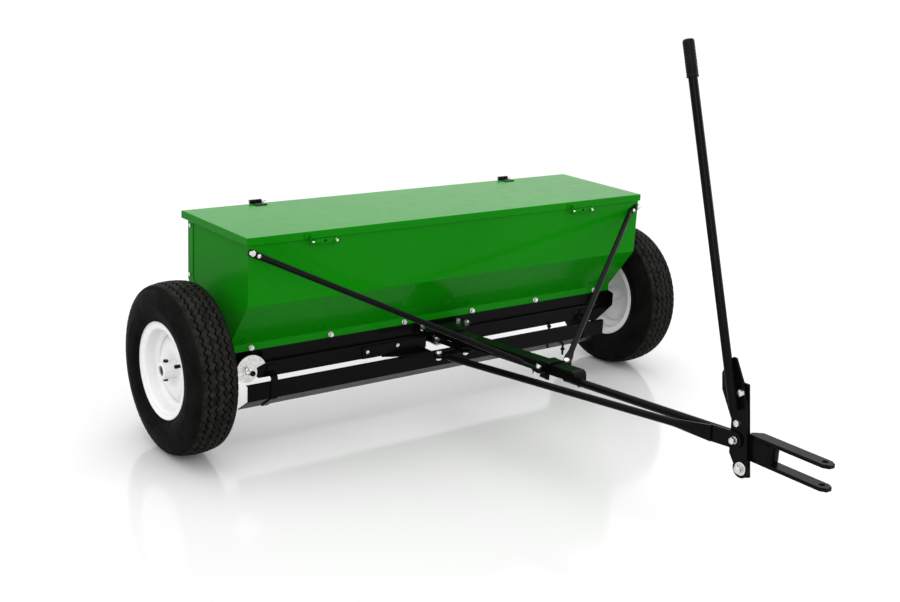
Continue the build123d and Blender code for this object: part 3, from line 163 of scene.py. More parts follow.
def tyre_rubber(name):
    """Black rubber with a fine moulded grain. The tread's lands are greyer, with dry dust in patches."""
    shader = Shader(name, Specular_IOR_Level=0.015)
    low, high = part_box("left_tyre")
    spoke = shader.tree.nodes.new("ShaderNodeVectorMath")
    spoke.operation = "MULTIPLY_ADD"
    spoke.inputs[1].default_value = (0, 1, 1)
    spoke.inputs[2].default_value = (0, -(low.y + high.y) / 2, -(low.z + high.z) / 2)
    shader.link(shader.place, spoke.inputs[0])
    reach = shader.tree.nodes.new("ShaderNodeVectorMath")
    reach.operation = "LENGTH"
    shader.link(spoke.outputs["Vector"], reach.inputs[0])
    radius = (high.z - low.z) / 2
    land_starts, land_full = radius - 6.6 * MM, radius - 5.2 * MM
    on_land = shader.ramp(reach.outputs["Value"], (0, 0, 0), (1, 1, 1), land_starts, land_full)
    mix = shader.tree.nodes.new("ShaderNodeMix")
    mix.data_type = "RGBA"
    shader.link(on_land, mix.inputs["Factor"])
    wall_clouds = shader.noise(22.0, 6, roughness=0.6)
    wall_colour = shader.ramp(wall_clouds, (0.0026, 0.0026, 0.0025), (0.0062, 0.0060, 0.0056))
    shader.link(wall_colour, mix.inputs["A"])
    dust = shader.noise(60.0, 6, roughness=0.7)
    land_colour = shader.ramp(dust, (0.0060, 0.0059, 0.0053), (0.0210, 0.0205, 0.0180), 0.40, 0.68)
    shader.link(land_colour, mix.inputs["B"])
    shader.link(mix.outputs["Result"], shader.main.inputs["Base Color"])
    shader.roughness(shader.noise(60.0, 5), 0.46, 0.62)
    grain = shader.bump(shader.noise(900.0, 4, roughness=0.7), 0.18 * MM, 0.45)
    shader.bump(shader.cells(420.0), 0.10 * MM, 0.25, after=grain)
    return shader.material


def moulded(name, dark, light, rough, grain):
    """Moulded plastic or rubber with a fine spark-eroded grain."""
    shader = Shader(name, Specular_IOR_Level=0.06)
    shader.colour(shader.noise(30.0, 4), dark, light)
    shader.roughness(shader.noise(120.0, 4), rough[0], rough[1])
    shader.bump(shader.noise(1500.0, 3), grain, 0.5)
    return shader.material


# Painted shade: the end plates take their own copy of the same green coat, with a slightly lighter base and much
# less coat. They show less of the studio's bright reflection, as if they faced darker surroundings.
GREEN_ENDS_SHADED_COPY = powder_coat(
    "green_coat_shaded_end_copy", (0.0022, 0.152, 0.0012), (0.0028, 0.165, 0.0016), (0.30, 0.36), coat=0.08
)
FINISH = {
    "green_paint": powder_coat(
        "green_powder_coat", (0.0022, 0.148, 0.0012), (0.0028, 0.160, 0.0016), (0.24, 0.30), coat=0.29
    ),
    "black_paint": powder_coat(
        "black_powder_coat", (0.0016, 0.0016, 0.0018), (0.0028, 0.0028, 0.0030), (0.26, 0.36), coat=0.25
    ),
    "white_paint": powder_coat(
        "white_enamel", (0.70, 0.705, 0.70), (0.74, 0.745, 0.74), (0.22, 0.30), coat=0.6
    ),
    "zinc": plated("zinc_plate", (0.52, 0.52, 0.50), (0.80, 0.80, 0.78), (0.20, 0.42)),
    "shaft_steel": drawn_steel(
        "drawn_steel", (0.32, 0.32, 0.32), (0.46, 0.46, 0.45), (0.22, 0.38)
    ),
    # Near-black bare steel, far darker than the drawn steel above it.
    "dark_steel": drawn_steel(
        "near_black_drawn_steel", (0.016, 0.015, 0.014), (0.034, 0.032, 0.030), (0.30, 0.45)
    ),
    "bearing_plastic": moulded(
        "black_nylon", (0.004, 0.004, 0.004), (0.008, 0.008, 0.008), (0.45, 0.6), 0.06 * MM
    ),
    "tyre": tyre_rubber("tyre_rubber"),
    "valve_rubber": moulded(
        "valve_rubber", (0.006, 0.006, 0.006), (0.011, 0.011, 0.011), (0.45, 0.6), 0.05 * MM
    ),
    "grip_vinyl": moulded(
        "dipped_vinyl", (0.0030, 0.0030, 0.0032), (0.006, 0.006, 0.0065), (0.30, 0.42), 0.08 * MM
    ),
}


# ---------------------------------------------------------------- mesh helpers
def make_piece(name, verts, faces, like, replaces=False, sharp=35.0, look=None):
    """A smooth-shaded mesh that rides with the CAD node called like, and takes its finish or look."""
    look = look or SLOT[like]
    mesh = bpy.data.meshes.new(name)
    mesh.from_pydata([tuple(v) for v in verts], [], [tuple(f) for f in faces])
    mesh.update()
    mesh.polygons.foreach_set("use_smooth", [True] * len(mesh.polygons))
    mesh.set_sharp_from_angle(angle=radians(sharp))
    piece = bpy.data.objects.new(name, mesh)
    bpy.context.scene.collection.objects.link(piece)
    mesh.materials.append(FINISH[look])
    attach(piece, BODY[like])
    if replaces:
        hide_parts(like)


class Shape:
    """Vertices and faces of one piece, gathered from simple parts."""

    def __init__(self):
        self.verts, self.faces = [], []

    def add(self, verts, faces):
        start = len(self.verts)
        self.verts += [Vector(v) for v in verts]
        self.faces += [[i + start for i in face] for face in faces]

    def rings(self, rings, closed=False):
        """Joins equal rings of points in order, and caps both ends or joins the last ring to the first."""
        count = len(rings[0])
        faces = []
        pairs = len(rings) if closed else len(rings) - 1
        for k in range(pairs):
            a, b = k * count, (k + 1) % len(rings) * count
            for i in range(count):
                j = (i + 1) % count
                faces.append((a + i, a + j, b + j, b + i))
        if not closed:
            last = (len(rings) - 1) * count
            faces.append(tuple(range(count))[::-1])
            faces.append(tuple(range(last, last + count)))
        self.add([p for ring in rings for p in ring], faces)

    def tube(self, points, radius, sides, closed=False, ripple=0.0):
        """A round bead or wire along points. ripple varies its radius from point to point."""
        rings = []
        count = len(points)
        side = None
        for k, point in enumerate(points):
            before = points[k - 1] if k or closed else point
            after = points[(k + 1) % count] if k < count - 1 or closed else point
            along = (after - before).normalized()
            if side is None:
                side = along.orthogonal().normalized()
            side = (side - along * side.dot(along)).normalized()
            up = along.cross(side)
            r = radius * (1 + ripple * (1 if k % 2 else -1))
            rings.append([
                point + (side * cos(2 * pi * i / sides) + up * sin(2 * pi * i / sides)) * r
                for i in range(sides)
            ])
        self.rings(rings, closed=closed)


def basis(axis):
    """Two directions square to the axis and the axis at length 1, as a right-handed set."""
    axis = axis.normalized()
    first = axis.orthogonal().normalized()
    return first, axis.cross(first), axis


def circle(centre, axis, radius, count):
    """Points of a circle round an axis."""
    first, second, _ = basis(axis)
    turns = [2 * pi * i / count for i in range(count)]
    return [centre + (first * cos(t) + second * sin(t)) * radius for t in turns]


CELLS_PER_METRE = 1e5          # corners in one cell of this grid are one corner


def islands(node):
    """The separate solids of a CAD node, each as an array of its points."""
    mesh = NODES[node].data
    keys = {}
    parent = []

    def find(i):
        while parent[i] != i:
            parent[i] = parent[parent[i]]
            i = parent[i]
        return i

    welded = []
    for vert in mesh.vertices:
        key = tuple(round(c * CELLS_PER_METRE) for c in vert.co)
        if key not in keys:
            keys[key] = len(parent)
            parent.append(len(parent))
        welded.append(keys[key])
    for polygon in mesh.polygons:
        first = find(welded[polygon.vertices[0]])
        for i in polygon.vertices[1:]:
            parent[find(welded[i])] = first
    groups = {}
    for vert, w in zip(mesh.vertices, welded):
        groups.setdefault(find(w), []).append(vert.index)
    return [np.array([mesh.vertices[i].co for i in members]) for members in groups.values()]


def island_axis(node, points):
    """Direction of the largest flat area of a solid of this node: the axis of a bolt."""
    mesh = NODES[node].data
    inside = {tuple(np.round(p, 5)) for p in points}
    area = {}
    for polygon in mesh.polygons:
        corner = tuple(np.round(np.array(mesh.vertices[polygon.vertices[0]].co), 5))
        if corner not in inside:
            continue
        normal = polygon.normal
        if normal[max(range(3), key=lambda k: abs(normal[k]))] < 0:
            normal = -normal
        key = tuple(round(c, 2) for c in normal)
        area[key] = area.get(key, 0.0) + polygon.area
    return Vector(max(area, key=area.get)).normalized()


# ---------------------------------------------------------------- fasteners
THREAD_DEPTH = 0.45 * MM
THREAD_PITCH = 1.4 * MM
SAME_LEVEL = 0.04 * MM         # points this close along a bolt's axis are on one level
SAME_RADIUS = 0.05 * MM
THINNEST_STEP = 0.05 * MM
LONGEST_THREAD = 12 * MM
TALLEST_DOME = 3 * MM
ROUND_SIDES = 28
WASHER_SIDES = 40
HEXAGON_POINTS = 48            # round a hexagon: enough to round its corners off
FLANGE_X = 0.6185              # the screws beyond this x hold the end plates' flanges


def hexagon_rings(centre, axis, low, high, apothem):
    """A hexagon from low to high along the axis, with its corners turned off at both ends."""
    first, second, axis = basis(axis)
    rounded = apothem * 0.97

    def ring(level, round_off, inner=False):
        points = []
        for i in range(HEXAGON_POINTS):
            turn = 2 * pi * i / HEXAGON_POINTS
            part = (turn + pi / 6) % (pi / 3) - pi / 6
            reach = rounded if inner else apothem / cos(part)
            drop = 0.0 if inner else round_off * (reach - rounded) * 0.58
            outward = first * cos(turn) + second * sin(turn)
            points.append(centre + axis * (level + drop) + outward * reach)
        return points

    return [ring(low, 0, inner=True), ring(low, 1), ring(high, -1), ring(high, 0, inner=True)]


def rebuild_fasteners(node, name, domed=False, chosen=None, look=None):
    """Remakes the chosen solids of a CAD fastener node from their own sizes: chamfered hexagons, washers
    with rounded edges, and threads on the shank where it shows past the nut."""
    shape = Shape()
    for points in islands(node):
        if chosen and not chosen(points.mean(0)):
            continue
        axis = island_axis(node, points)
        first, second, _ = basis(axis)
        frame_axes = np.array([first, second, axis])
        local = points @ frame_axes.T
        middle = (local.min(0) + local.max(0)) / 2
        centre = Vector(middle[0] * np.array(first) + middle[1] * np.array(second))
        radii = np.hypot(local[:, 0] - middle[0], local[:, 1] - middle[1])
        levels = sorted({round(z, 5) for z in local[:, 2]})
        levels = [z for k, z in enumerate(levels) if k == 0 or z - levels[k - 1] > THINNEST_STEP]
        at_level = {z: radii[np.abs(local[:, 2] - z) < SAME_LEVEL] for z in levels}
        for low, high in zip(levels, levels[1:]):
            outer = min(at_level[low].max(), at_level[high].max())
            on_low = np.abs(local[:, 2] - low) < SAME_LEVEL
            on_edge = on_low & (np.abs(radii - outer) < SAME_RADIUS)
            corners = {tuple(np.round(p, 5)) for p in local[on_edge]}
            hexagonal = 0 < len(corners) <= 7
            ends = (low == levels[0], high == levels[-1])
            add_slab(shape, centre, axis, (low, high), outer, hexagonal, ends, domed)
    make_piece(name, shape.verts, shape.faces, node, replaces=True, look=look)


def add_slab(shape, centre, axis, span, outer, hexagonal, ends, domed):
    """One step of a fastener: a hexagon, a washer, a threaded end or a plain shank."""
    low, high = span
    height = high - low
    if hexagonal:
        shape.rings(hexagon_rings(centre, axis, low, high, outer * cos(pi / 6)))
    elif domed and height < TALLEST_DOME:
        base, top = (low, high) if ends[1] else (high, low)
        dome_line = [(0, 1.0), (0.35, 1.0), (0.7, 0.9), (0.92, 0.68), (1.0, 0.36)]
        profile = [(base + (top - base) * share, outer * part) for share, part in dome_line]
        shape.rings([circle(centre + axis * z, axis, r, ROUND_SIDES) for z, r in profile])
    elif outer > 1.3 * height:
        edge = min(0.25 * height, 0.4 * MM)
        profile = [(low, outer - edge), (low + edge, outer), (high - edge, outer), (high, outer - edge)]
        shape.rings([circle(centre + axis * z, axis, r, WASHER_SIDES) for z, r in profile])
    elif (ends[0] or ends[1]) and height < LONGEST_THREAD:
        turns = max(2, int(height / THREAD_PITCH))
        profile = []
        for k in range(2 * turns + 1):
            radius = outer - (THREAD_DEPTH if k % 2 else 0.0)
            profile.append((low + height * k / (2 * turns), radius))
        shape.rings([circle(centre + axis * z, axis, r, ROUND_SIDES) for z, r in profile])
    else:
        shape.rings([circle(centre + axis * z, axis, outer, ROUND_SIDES) for z in (low, high)])


for fastener in ("lip_bolts", "strut_bolts", "frame_bolts", "lever_bolts", "crank_pins", "drive_pin"):
    rebuild_fasteners(fastener, fastener + "_detail")
rebuild_fasteners(
    "panel_screws", "painted_screws", domed=True, chosen=lambda middle: abs(middle[0]) < FLANGE_X
)
rebuild_fasteners(
    "panel_screws", "flange_screws", domed=True, chosen=lambda middle: abs(middle[0]) > FLANGE_X, look="zinc"
)


def build_latch_ends(node):
    """Plated round nose and domed knob of a sliding latch."""
    low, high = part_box(node)
    middle_z = (low.z + high.z) / 2
    nose = Vector((low.x, high.y - 3.5 * MM, middle_z))
    shape = Shape()
    nose_line = [(-0.2, 0.9), (0.1, 1.9), (0.8, 2.5), (1.8, 2.75), (6.6, 2.75), (7.0, 2.4)]
    shape.rings([circle(nose + Vector((x * MM, 0, 0)), ALONG_X, r * MM, 28) for x, r in nose_line])
    knob = Vector((high.x - 9 * MM, low.y, middle_z))
    knob_line = [
        (-0.3, 1.6), (-0.1, 2.8), (0.5, 3.9), (1.4, 4.5), (2.4, 4.75), (6.5, 4.75), (7.6, 4.3), (8.8, 4.3),
    ]
    shape.rings([circle(knob + Vector((0, y * MM, 0)), ALONG_Y, r * MM, 32) for y, r in knob_line])
    make_piece(node + "_ends", shape.verts, shape.faces, node, look="zinc", sharp=50.0)


build_latch_ends("left_latch")
build_latch_ends("right_latch")

# ---------------------------------------------------------------- wheels
# Profiles in this part are (x, r) in mm: x outboard from the wheel's middle, r from its axis.
TREAD_PITCHES = 66             # round the tyre
# rows of one pitch, as parts of it: they put straight edges on the zigzag and on the shoulder cuts
ROWS = (0.0, 0.12, 0.19, 0.31, 0.38, 0.50, 0.66, 0.84)
CUT_ROWS = (2, 3)
CUT_DEPTH = 1.8
GROOVE_CENTRES = (-27.5, -9.2, 9.2, 27.5)
GROOVE_W = 5.0
GROOVE_DEPTH = 6.5
GROOVE_WALL = 0.55
ZIGZAG = 4.4                   # swing of a groove, before its turns are cut flat
FLAT_PART = 0.72
CROWN_DROP = 7.0               # by how much the tread falls off at CROWN_X
CROWN_X = 47.0
SHOULDER_POINTS = 3            # the first points of the sidewall belong to the cut shoulder
SHEET = 2.4
LATHE_STEPS = 144


def wheel_facts(side_name):
    """Centre in metres, radius in mm and outboard direction of a wheel, from its tyre's box."""
    low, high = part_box(side_name + "_tyre")
    centre = (low + high) / 2
    return centre, (high.z - low.z) / 2 / MM, (-1 if centre.x < 0 else 1)


def tread_columns():
    """Columns across the tread as (x, depth below the crown, share of the zigzag)."""
    columns = []
    for centre in GROOVE_CENTRES:
        left = centre - GROOVE_W / 2
        right = centre + GROOVE_W / 2
        for x, depth in (
            (left - 0.7, 0.0),
            (left, 0.5),
            (left + GROOVE_WALL, GROOVE_DEPTH - 0.6),
            (left + GROOVE_WALL + 0.5, GROOVE_DEPTH),
            (right - GROOVE_WALL - 0.5, GROOVE_DEPTH),
            (right - GROOVE_WALL, GROOVE_DEPTH - 0.6),
            (right, 0.5),
            (right + 0.7, 0.0),
        ):
            columns.append((x, depth, 1.0))
    for x in (-18.0, 0.0, 18.0):
        columns.append((x, 0.0, 1.0))
    for x in (36.5, 40.5, 43.0):
        share = max(0.0, 1 - (x - 33) / 7)
        columns += [(x, 0.0, share), (-x, 0.0, share)]
    return sorted(columns)


def crown_radius(x, radius):
    """Radius of the slightly crowned tread at x."""
    return radius - CROWN_DROP * (x / CROWN_X) ** 2


def sidewall(radius):
    """Outer sidewall from the shoulder to the bead, with its moulded rings."""
    return [
        (46.0, radius - 7.6), (47.6, radius - 9.4), (48.6, radius - 12.5),
        (50.3, radius - 17.0), (50.9, radius - 17.4),
        (53.4, 183.0), (55.6, 176.0), (57.2, 169.0), (58.2, 162.0), (58.6, 157.0), (59.4, 156.4),
        (59.4, 155.2), (58.8, 154.6), (58.7, 149.0), (58.0, 143.0), (56.8, 137.5), (55.3, 133.0),
        (55.6, 132.2), (55.0, 131.2), (54.0, 130.6), (52.0, 126.5), (49.6, 122.6), (48.9, 121.0),
        (48.6, 118.8), (47.3, 117.3), (44.0, 114.6), (42.0, 113.2), (41.8, 106.0), (41.0, 102.0),
        (38.5, 100.95),
    ]


def inside_of_tyre(radius):
    """Inner face of the casing from one bead's toe to the other's."""
    return [
        (29.2, 101.0), (30.0, 106.0), (38.0, 122.0), (45.0, 136.0), (49.0, 152.0), (47.5, 172.0),
        (42.0, 186.0), (30.0, radius - 14.0), (0.0, radius - 11.5),
    ]


def build_tyre(side_name):
    """Tyre with four zigzag grooves, cuts in both shoulders, and rings on its sidewalls."""
    centre, radius, _ = wheel_facts(side_name)
    wall = [(x, r, 0.0, k < SHOULDER_POINTS) for k, (x, r) in enumerate(sidewall(radius))]
    lining = [(x, r, 0.0, False) for x, r in inside_of_tyre(radius)]
    tread = [(x, crown_radius(x, radius) - depth, share, False) for x, depth, share in tread_columns()]
    other_wall = [(-x, r, share, shoulder) for x, r, share, shoulder in wall]
    other_lining = [(-x, r, share, shoulder) for x, r, share, shoulder in lining]
    section = tread + wall + lining + other_lining[-2::-1] + other_wall[::-1]
    rings = []
    for pitch in range(TREAD_PITCHES):
        for row, phase in enumerate(ROWS):
            turn = 2 * pi * (pitch + phase) / TREAD_PITCHES
            swing = (4 * abs(phase - 0.5) - 1) * ZIGZAG
            swing = max(-FLAT_PART * ZIGZAG, min(FLAT_PART * ZIGZAG, swing))
            ring = []
            for x, r, share, shoulder in section:
                if shoulder and row in CUT_ROWS:
                    r -= CUT_DEPTH
                x += swing * share
                ring.append(centre + Vector((x * MM, r * sin(turn) * MM, r * cos(turn) * MM)))
            rings.append(ring)
    shape = Shape()
    shape.rings(rings, closed=True)
    faces = [face[::-1] for face in shape.faces]
    make_piece(side_name + "_tyre_tread", shape.verts, faces, side_name + "_tyre", replaces=True, sharp=38.0)


def lathe(shape, centre, profile):
    """Turns a closed profile round the X axis through centre."""
    rings = []
    for k in range(LATHE_STEPS):
        turn = 2 * pi * k / LATHE_STEPS
        rings.append([centre + Vector((x * MM, r * MM * sin(turn), r * MM * cos(turn))) for x, r in profile])
    shape.rings(rings, closed=True)


def smooth_path(points, steps):
    """Catmull-Rom curve through the points, in this many steps from each to the next."""
    dense = []
    padded = [points[0]] + list(points) + [points[-1]]
    for k in range(1, len(padded) - 2):
        p0, p1, p2, p3 = (Vector(padded[k + i]) for i in (-1, 0, 1, 2))
        for s in range(steps):
            t = s / steps
            dense.append(tuple(0.5 * (
                2 * p1 + (p2 - p0) * t + (2 * p0 - 5 * p1 + 4 * p2 - p3) * t * t
                + (3 * p1 - p0 - 3 * p2 + p3) * t ** 3
            )))
    dense.append(tuple(points[-1]))
    return dense


def thickened(path):
    """Closed section of the rim's sheet, whose outer face is the path."""
    inner = []
    for k, point in enumerate(path):
        before, after = Vector(path[max(k - 1, 0)]), Vector(path[min(k + 1, len(path) - 1)])
        along = (after - before).normalized()
        inner.append((point[0] - along[1] * SHEET, point[1] + along[0] * SHEET))
    return list(path) + inner[::-1]


def build_rim(side_name):
    """Pressed rim: rolled lips, bead seats, drop centre, and a dished disc with a flared middle."""
    centre, _, side = wheel_facts(side_name)
    half_barrel = [
        (48.6, 115.2), (48.7, 116.4), (47.4, 117.0), (45.4, 116.0), (43.4, 113.4), (42.5, 109.5),
        (42.4, 103.6), (41.4, 101.2), (38.8, 100.2), (24.0, 98.3), (18.5, 97.2), (16.2, 94.8),
        (13.0, 86.6), (10.0, 84.2), (0.0, 84.0),
    ]
    barrel = smooth_path(half_barrel + [(-x, r) for x, r in half_barrel[-2::-1]], 4)
    disc = smooth_path([
        (4.5, 81.7), (6.5, 79.8), (12.0, 73.0), (17.5, 64.0), (20.0, 54.0), (19.4, 44.0),
        (17.0, 34.0), (14.8, 26.5), (14.0, 21.2),
    ], 5)
    shape = Shape()
    for path in (barrel, disc):
        lathe(shape, centre, [(side * x, r) for x, r in thickened(path)])
    rim = side_name + "_rim"
    make_piece(rim + "_pressing", shape.verts, shape.faces, rim, replaces=True, sharp=50.0)


WELD_RIPPLE = 0.10             # part of a bead's radius by which it swells and shrinks


def ring_bead(shape, centre, axis, radius, bead, count):
    """A weld bead round an axis, with its ripples."""
    shape.tube(circle(centre, axis, radius, count), bead, 10, closed=True, ripple=WELD_RIPPLE)


def build_hub(side_name):
    """Weld beads where the hub tube goes through the disc."""
    low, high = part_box(side_name + "_hub")
    centre, _, side = wheel_facts(side_name)
    hub_radius = (high.z - low.z) / 2
    shape = Shape()
    for x in (16.8, 10.6):
        face = centre + Vector((side * x * MM, 0, 0))
        ring_bead(shape, face, ALONG_X, hub_radius + 0.6 * MM, 1.7 * MM, 96)
    make_piece(side_name + "_hub_welds", shape.verts, shape.faces, side_name + "_hub")


STEM_SIDES = 40


def build_valve(side_name):
    """Valve stem: a rubber foot, a tapered stem and a ribbed cap, as (share of its length, r in mm)."""
    low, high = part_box(side_name + "_valve_stem")
    side = -1 if low.x < 0 else 1
    middle = (low + high) / 2
    base, tip = (high.x, low.x) if side < 0 else (low.x, high.x)
    profile = [
        (0.0, 4.1), (0.36, 4.1), (0.38, 6.2), (0.44, 6.4), (0.50, 5.6), (0.56, 4.4),
        (0.80, 4.0), (0.805, 4.6), (0.94, 4.6), (0.985, 4.1), (1.0, 3.0),
    ]
    cap_starts, cap_ends = 0.803, 0.96
    rings = []
    for share, radius in profile:
        x = base + (tip - base) * share
        ring = []
        for i in range(STEM_SIDES):
            turn = 2 * pi * i / STEM_SIDES
            rib = 0.25 if cap_starts < share < cap_ends and i % 2 else 0.0
            r = (radius - rib) * MM
            ring.append(Vector((x, middle.y + r * sin(turn), middle.z + r * cos(turn))))
        rings.append(ring if side < 0 else ring[::-1])
    shape = Shape()
    shape.rings(rings)
    make_piece(side_name + "_valve", shape.verts, shape.faces, side_name + "_valve_stem", replaces=True)


for wheel in ("left", "right"):
    build_tyre(wheel)
    build_rim(wheel)
    build_hub(wheel)
    build_valve(wheel)


# ---------------------------------------------------------------- lever grip
def bar_ends(node):
    """Centres of the two ends of a straight bar, lower one first."""
    points = np.array([v.co for v in NODES[node].data.vertices])
    centre = points.mean(0)
    _, _, rows = np.linalg.svd(points - centre, full_matrices=False)
    axis = rows[0] if rows[0][2] > 0 else -rows[0]
    reach = (points - centre) @ axis
    ends = []
    for extreme in (reach.min(), reach.max()):
        near = points[np.abs(reach - extreme) < 0.8 * MM]
        ends.append(Vector((near.min(0) + near.max(0)) / 2))
    return ends


def build_grip():
    """Dipped vinyl grip: a rolled lower lip, shallow finger rings and a domed top. Its profile is in
    shares of the grip's length and of its radius."""
    low, high = bar_ends("hand_grip")
    axis = (high - low).normalized()
    length = (high - low).length
    radius = 12.8 * MM
    profile = [(0.0, 0.86), (0.004, 0.97), (0.018, 1.0), (0.034, 0.985), (0.05, 0.93)]
    finger_rings = 9
    for k in range(finger_rings):
        start = 0.10 + k * 0.085
        profile += [(start, 0.955), (start + 0.012, 0.925), (start + 0.026, 0.925), (start + 0.038, 0.955)]
    profile += [(0.90, 0.95), (0.94, 0.93), (0.972, 0.84), (0.99, 0.68), (0.998, 0.45), (1.0, 0.2)]
    shape = Shape()
    shape.rings([circle(low + axis * length * s, axis, radius * r, 48) for s, r in profile])
    make_piece("hand_grip_vinyl", shape.verts, shape.faces, "hand_grip", replaces=True, sharp=60.0)


build_grip()


# ---------------------------------------------------------------- rate cam
CAM_LARGEST = 45.0             # mm: radius of the cam at its first step
CAM_FALL = 25.5                # mm: by how much it falls over one turn
CAM_STEPS = 26
TICK_HALF_WIDTH = 0.45 * MM


def build_cam_marks():
    """Raised scale ticks on the cam's front face, near its edge. Every fifth one is longer."""
    low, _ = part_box("rate_cam")
    hinge = next(j for j in frame["joints"] if j["name"] == "cam_turn")
    pivot = Vector(hinge["pos_m"])
    first_tick = radians(19.0)
    layers = ((low.y + 0.1 * MM, 1.0), (low.y - 0.25 * MM, 1.0), (low.y - 0.4 * MM, 0.7))
    shape = Shape()
    for k in range(1, CAM_STEPS):
        share = k / CAM_STEPS
        turn = first_tick + 2 * pi * share
        reach = (CAM_LARGEST - CAM_FALL * share) * MM
        out = Vector((cos(turn), 0, sin(turn)))
        across = Vector((-sin(turn), 0, cos(turn)))
        inner = reach - (7.0 if k % 5 == 0 else 4.5) * MM
        outer = reach - 1.6 * MM
        corners = (
            (inner, -TICK_HALF_WIDTH), (outer, -TICK_HALF_WIDTH),
            (outer, TICK_HALF_WIDTH), (inner, TICK_HALF_WIDTH),
        )
        base = [pivot + out * r + across * w for r, w in corners]
        middle = sum(base, Vector()) / 4
        rings = []
        for y, shrink in layers:
            shrunk = [middle + (corner - middle) * shrink for corner in base]
            rings.append([Vector((corner.x, y, corner.z)) for corner in shrunk])
        shape.rings(rings)
    make_piece("rate_cam_scale", shape.verts, shape.faces, "rate_cam", sharp=25.0)


build_cam_marks()


# ---------------------------------------------------------------- folded edges of the lid
def build_lid_hem():
    """Hem along the lid's lower edge and the folded seams at its corners."""
    low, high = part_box("lid")
    shape = Shape()
    inset = 0.55 * MM
    sides = 8
    z = low.z + 0.9 * MM
    seam_top = high.z - 2.4 * MM
    corners = [
        (low.x + inset, low.y + inset), (high.x - inset, low.y + inset),
        (high.x - inset, high.y - inset), (low.x + inset, high.y - inset),
    ]
    loop = []
    for (x0, y0), (x1, y1) in zip(corners, corners[1:] + corners[:1]):
        loop += [Vector((x0 + (x1 - x0) * t, y0 + (y1 - y0) * t, z)) for t in (0.004, 0.25, 0.5, 0.75, 0.996)]
    shape.tube(loop, 1.05 * MM, sides, closed=True)
    for x, y in corners:
        seam = [Vector((x, y, level)) for level in (z, (z + high.z) / 2, seam_top)]
        shape.tube(seam, 0.95 * MM, sides)
    make_piece("lid_hem", shape.verts, shape.faces, "lid", sharp=60.0)


build_lid_hem()


# ---------------------------------------------------------------- welds on the black steelwork
RIPPLE_STEP = 1.6 * MM


def straight_weld(shape, start, end, radius):
    """A rippled bead between two points."""
    count = max(4, int((end - start).length / RIPPLE_STEP))
    points = [start + (end - start) * (k / count) for k in range(count + 1)]
    shape.tube(points, radius, 9, ripple=WELD_RIPPLE)


def build_fork_welds():
    """Beads between the clevis block and the two fork bars."""
    low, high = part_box("clevis_block")
    shape = Shape()
    for z in (low.z, high.z):
        for x in (low.x + 4 * MM, high.x - 0.6 * MM):
            start = Vector((x, low.y + 16 * MM, z))
            end = Vector((x, high.y - 3 * MM, z))
            straight_weld(shape, start, end, 1.8 * MM)
    make_piece("fork_welds", shape.verts, shape.faces, "clevis_block")


def build_tube_welds():
    """Rings where the tongue tube enters the channel's nose and meets the clevis block."""
    low, high = bar_ends("tongue_tube")
    front, rear = (low, high) if low.y < high.y else (high, low)
    axis = (rear - front).normalized()
    nose_low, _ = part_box("tongue_channel")
    shape = Shape()
    ring_bead(shape, front + axis * 1.4 * MM, axis, 9.6 * MM, 1.7 * MM, 44)
    at_nose = front + axis * ((nose_low.y - front.y) / axis.y)
    ring_bead(shape, at_nose, axis, 9.9 * MM, 1.7 * MM, 44)
    make_piece("tongue_welds", shape.verts, shape.faces, "tongue_tube")


def build_handle_weld():
    """Beads down both sides of the handle tube where it lies on the lever plate."""
    low, high = bar_ends("handle_tube")
    axis = (high - low).normalized()
    plate_low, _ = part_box("lever_plate")
    shape = Shape()
    side = Vector((0, -axis.z, axis.y))
    for edge in (-1, 1):
        start = low + axis * 6 * MM + side * edge * 3.4 * MM
        end = low + axis * 78 * MM + side * edge * 3.4 * MM
        start.x = plate_low.x - 0.3 * MM
        end.x = start.x
        straight_weld(shape, start, end, 1.6 * MM)
    make_piece("handle_welds", shape.verts, shape.faces, "handle_tube")


build_fork_welds()
build_tube_welds()
build_handle_weld()

# ---------------------------------------------------------------- finish on the CAD nodes that stay
for node, obj in NODES.items():
    obj.data.materials.clear()
    # The end plates take the painted-shade copy of the green coat.
    obj.data.materials.append(GREEN_ENDS_SHADED_COPY if node.endswith("end_plate") else FINISH[SLOT[node]])
    obj.data.polygons.foreach_set("material_index", [0] * len(obj.data.polygons))

# ---------------------------------------------------------------- floor, light and camera
HALF_FLOOR = 30.0
floor_mesh = bpy.data.meshes.new("floor")
floor_corners = [
    (-HALF_FLOOR, -HALF_FLOOR, 0), (HALF_FLOOR, -HALF_FLOOR, 0),
    (HALF_FLOOR, HALF_FLOOR, 0), (-HALF_FLOOR, HALF_FLOOR, 0),
]
floor_mesh.from_pydata(floor_corners, [], [(0, 1, 2, 3)])
floor = bpy.data.objects.new("floor", floor_mesh)
bpy.context.scene.collection.objects.link(floor)
floor_look = Shader("floor", Specular_IOR_Level=0.20)
floor_look.colour(floor_look.noise(0.15, 1), (0.55, 0.55, 0.55), (0.56, 0.56, 0.56))
floor_look.roughness(floor_look.noise(0.4, 1), 0.10, 0.13)
floor_mesh.materials.append(floor_look.material)

# The studio's walls light the part a little less than its ceiling; the camera itself sees plain white.
WALL_LEVEL = 1.14
CEILING_LEVEL = 1.44
CEILING_STARTS = 0.30          # height of the direction, 1 being straight up

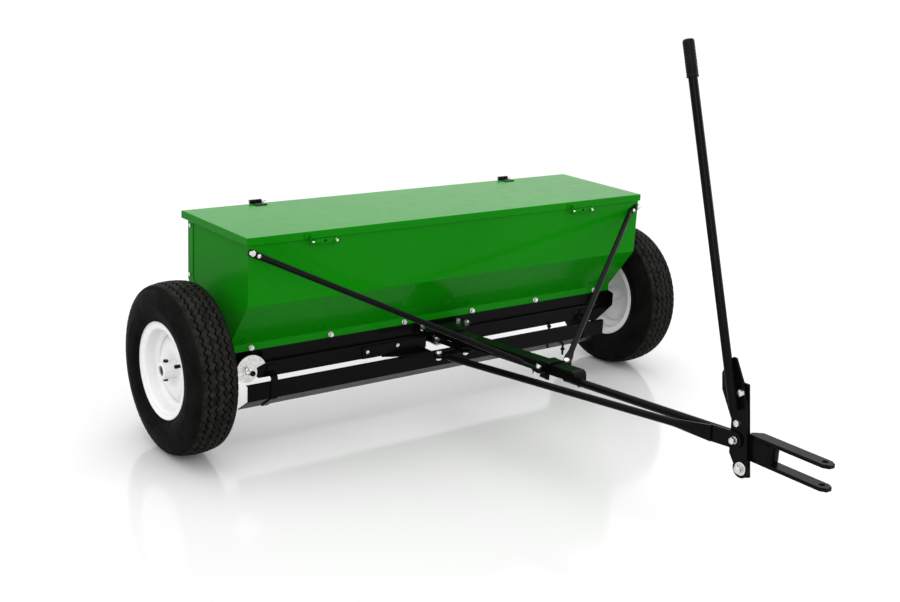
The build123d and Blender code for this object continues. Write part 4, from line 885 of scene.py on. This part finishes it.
world = bpy.data.worlds.new("studio")
bpy.context.scene.world = world
world.use_nodes = True
sky = world.node_tree
direction = sky.nodes.new("ShaderNodeTexCoord")
height = sky.nodes.new("ShaderNodeSeparateXYZ")
dome = sky.nodes.new("ShaderNodeMapRange")
seen = sky.nodes.new("ShaderNodeLightPath")
level = sky.nodes.new("ShaderNodeMix")
sky.links.new(direction.outputs["Generated"], height.inputs[0])
sky.links.new(height.outputs["Z"], dome.inputs["Value"])
dome.inputs["From Min"].default_value = 0.0
dome.inputs["From Max"].default_value = CEILING_STARTS
dome.inputs["To Min"].default_value = WALL_LEVEL
dome.inputs["To Max"].default_value = CEILING_LEVEL
level.inputs["B"].default_value = 1.0
sky.links.new(seen.outputs["Is Camera Ray"], level.inputs["Factor"])
sky.links.new(dome.outputs["Result"], level.inputs["A"])
sky.links.new(level.outputs["Result"], sky.nodes["Background"].inputs["Strength"])
sky.nodes["Background"].inputs["Color"].default_value = (1, 1, 1, 1)


def soft_box(name, place, target, size, power):
    """A rectangular area light, in metres and watts, that faces target."""
    light = bpy.data.lights.new(name, "AREA")
    light.shape = "RECTANGLE"
    light.size, light.size_y = size
    light.energy = power
    lamp = bpy.data.objects.new(name, light)
    lamp.location = place
    lamp.rotation_mode = "QUATERNION"
    lamp.rotation_quaternion = (Vector(target) - Vector(place)).to_track_quat("-Z", "Y")
    bpy.context.scene.collection.objects.link(lamp)


soft_box("top_box", (-0.3, 0.6, 3.6), (0, 0.4, 0), (3.6, 2.4), 66)
soft_box("front_box", (-3.0, -3.6, 2.2), (0, 0, 0.3), (2.4, 2.0), 54)
soft_box("right_box", (3.4, -1.6, 1.8), (0, 0, 0.3), (0.5, 2.4), 34)

# The camera that was fitted to the photograph. Lens and sensor are in mm.
CAMERA_PLACE = (-2.0545, -2.1554, 1.2500)
CAMERA_RIGHT = Vector((0.79256, -0.60761, 0.05148))
CAMERA_UP = Vector((0.12782, 0.24809, 0.96027))
LENS = 53.09
SENSOR_WIDTH = 36.0
camera_data = bpy.data.cameras.new("camera")
camera_data.lens = LENS
camera_data.sensor_width = SENSOR_WIDTH
camera = bpy.data.objects.new("camera", camera_data)
turn = Matrix((CAMERA_RIGHT, CAMERA_UP, CAMERA_RIGHT.cross(CAMERA_UP))).transposed()
camera.matrix_world = Matrix.Translation(CAMERA_PLACE) @ turn.to_4x4()
bpy.context.scene.collection.objects.link(camera)
bpy.context.scene.camera = camera
bpy.context.scene.view_settings.view_transform = "Standard"
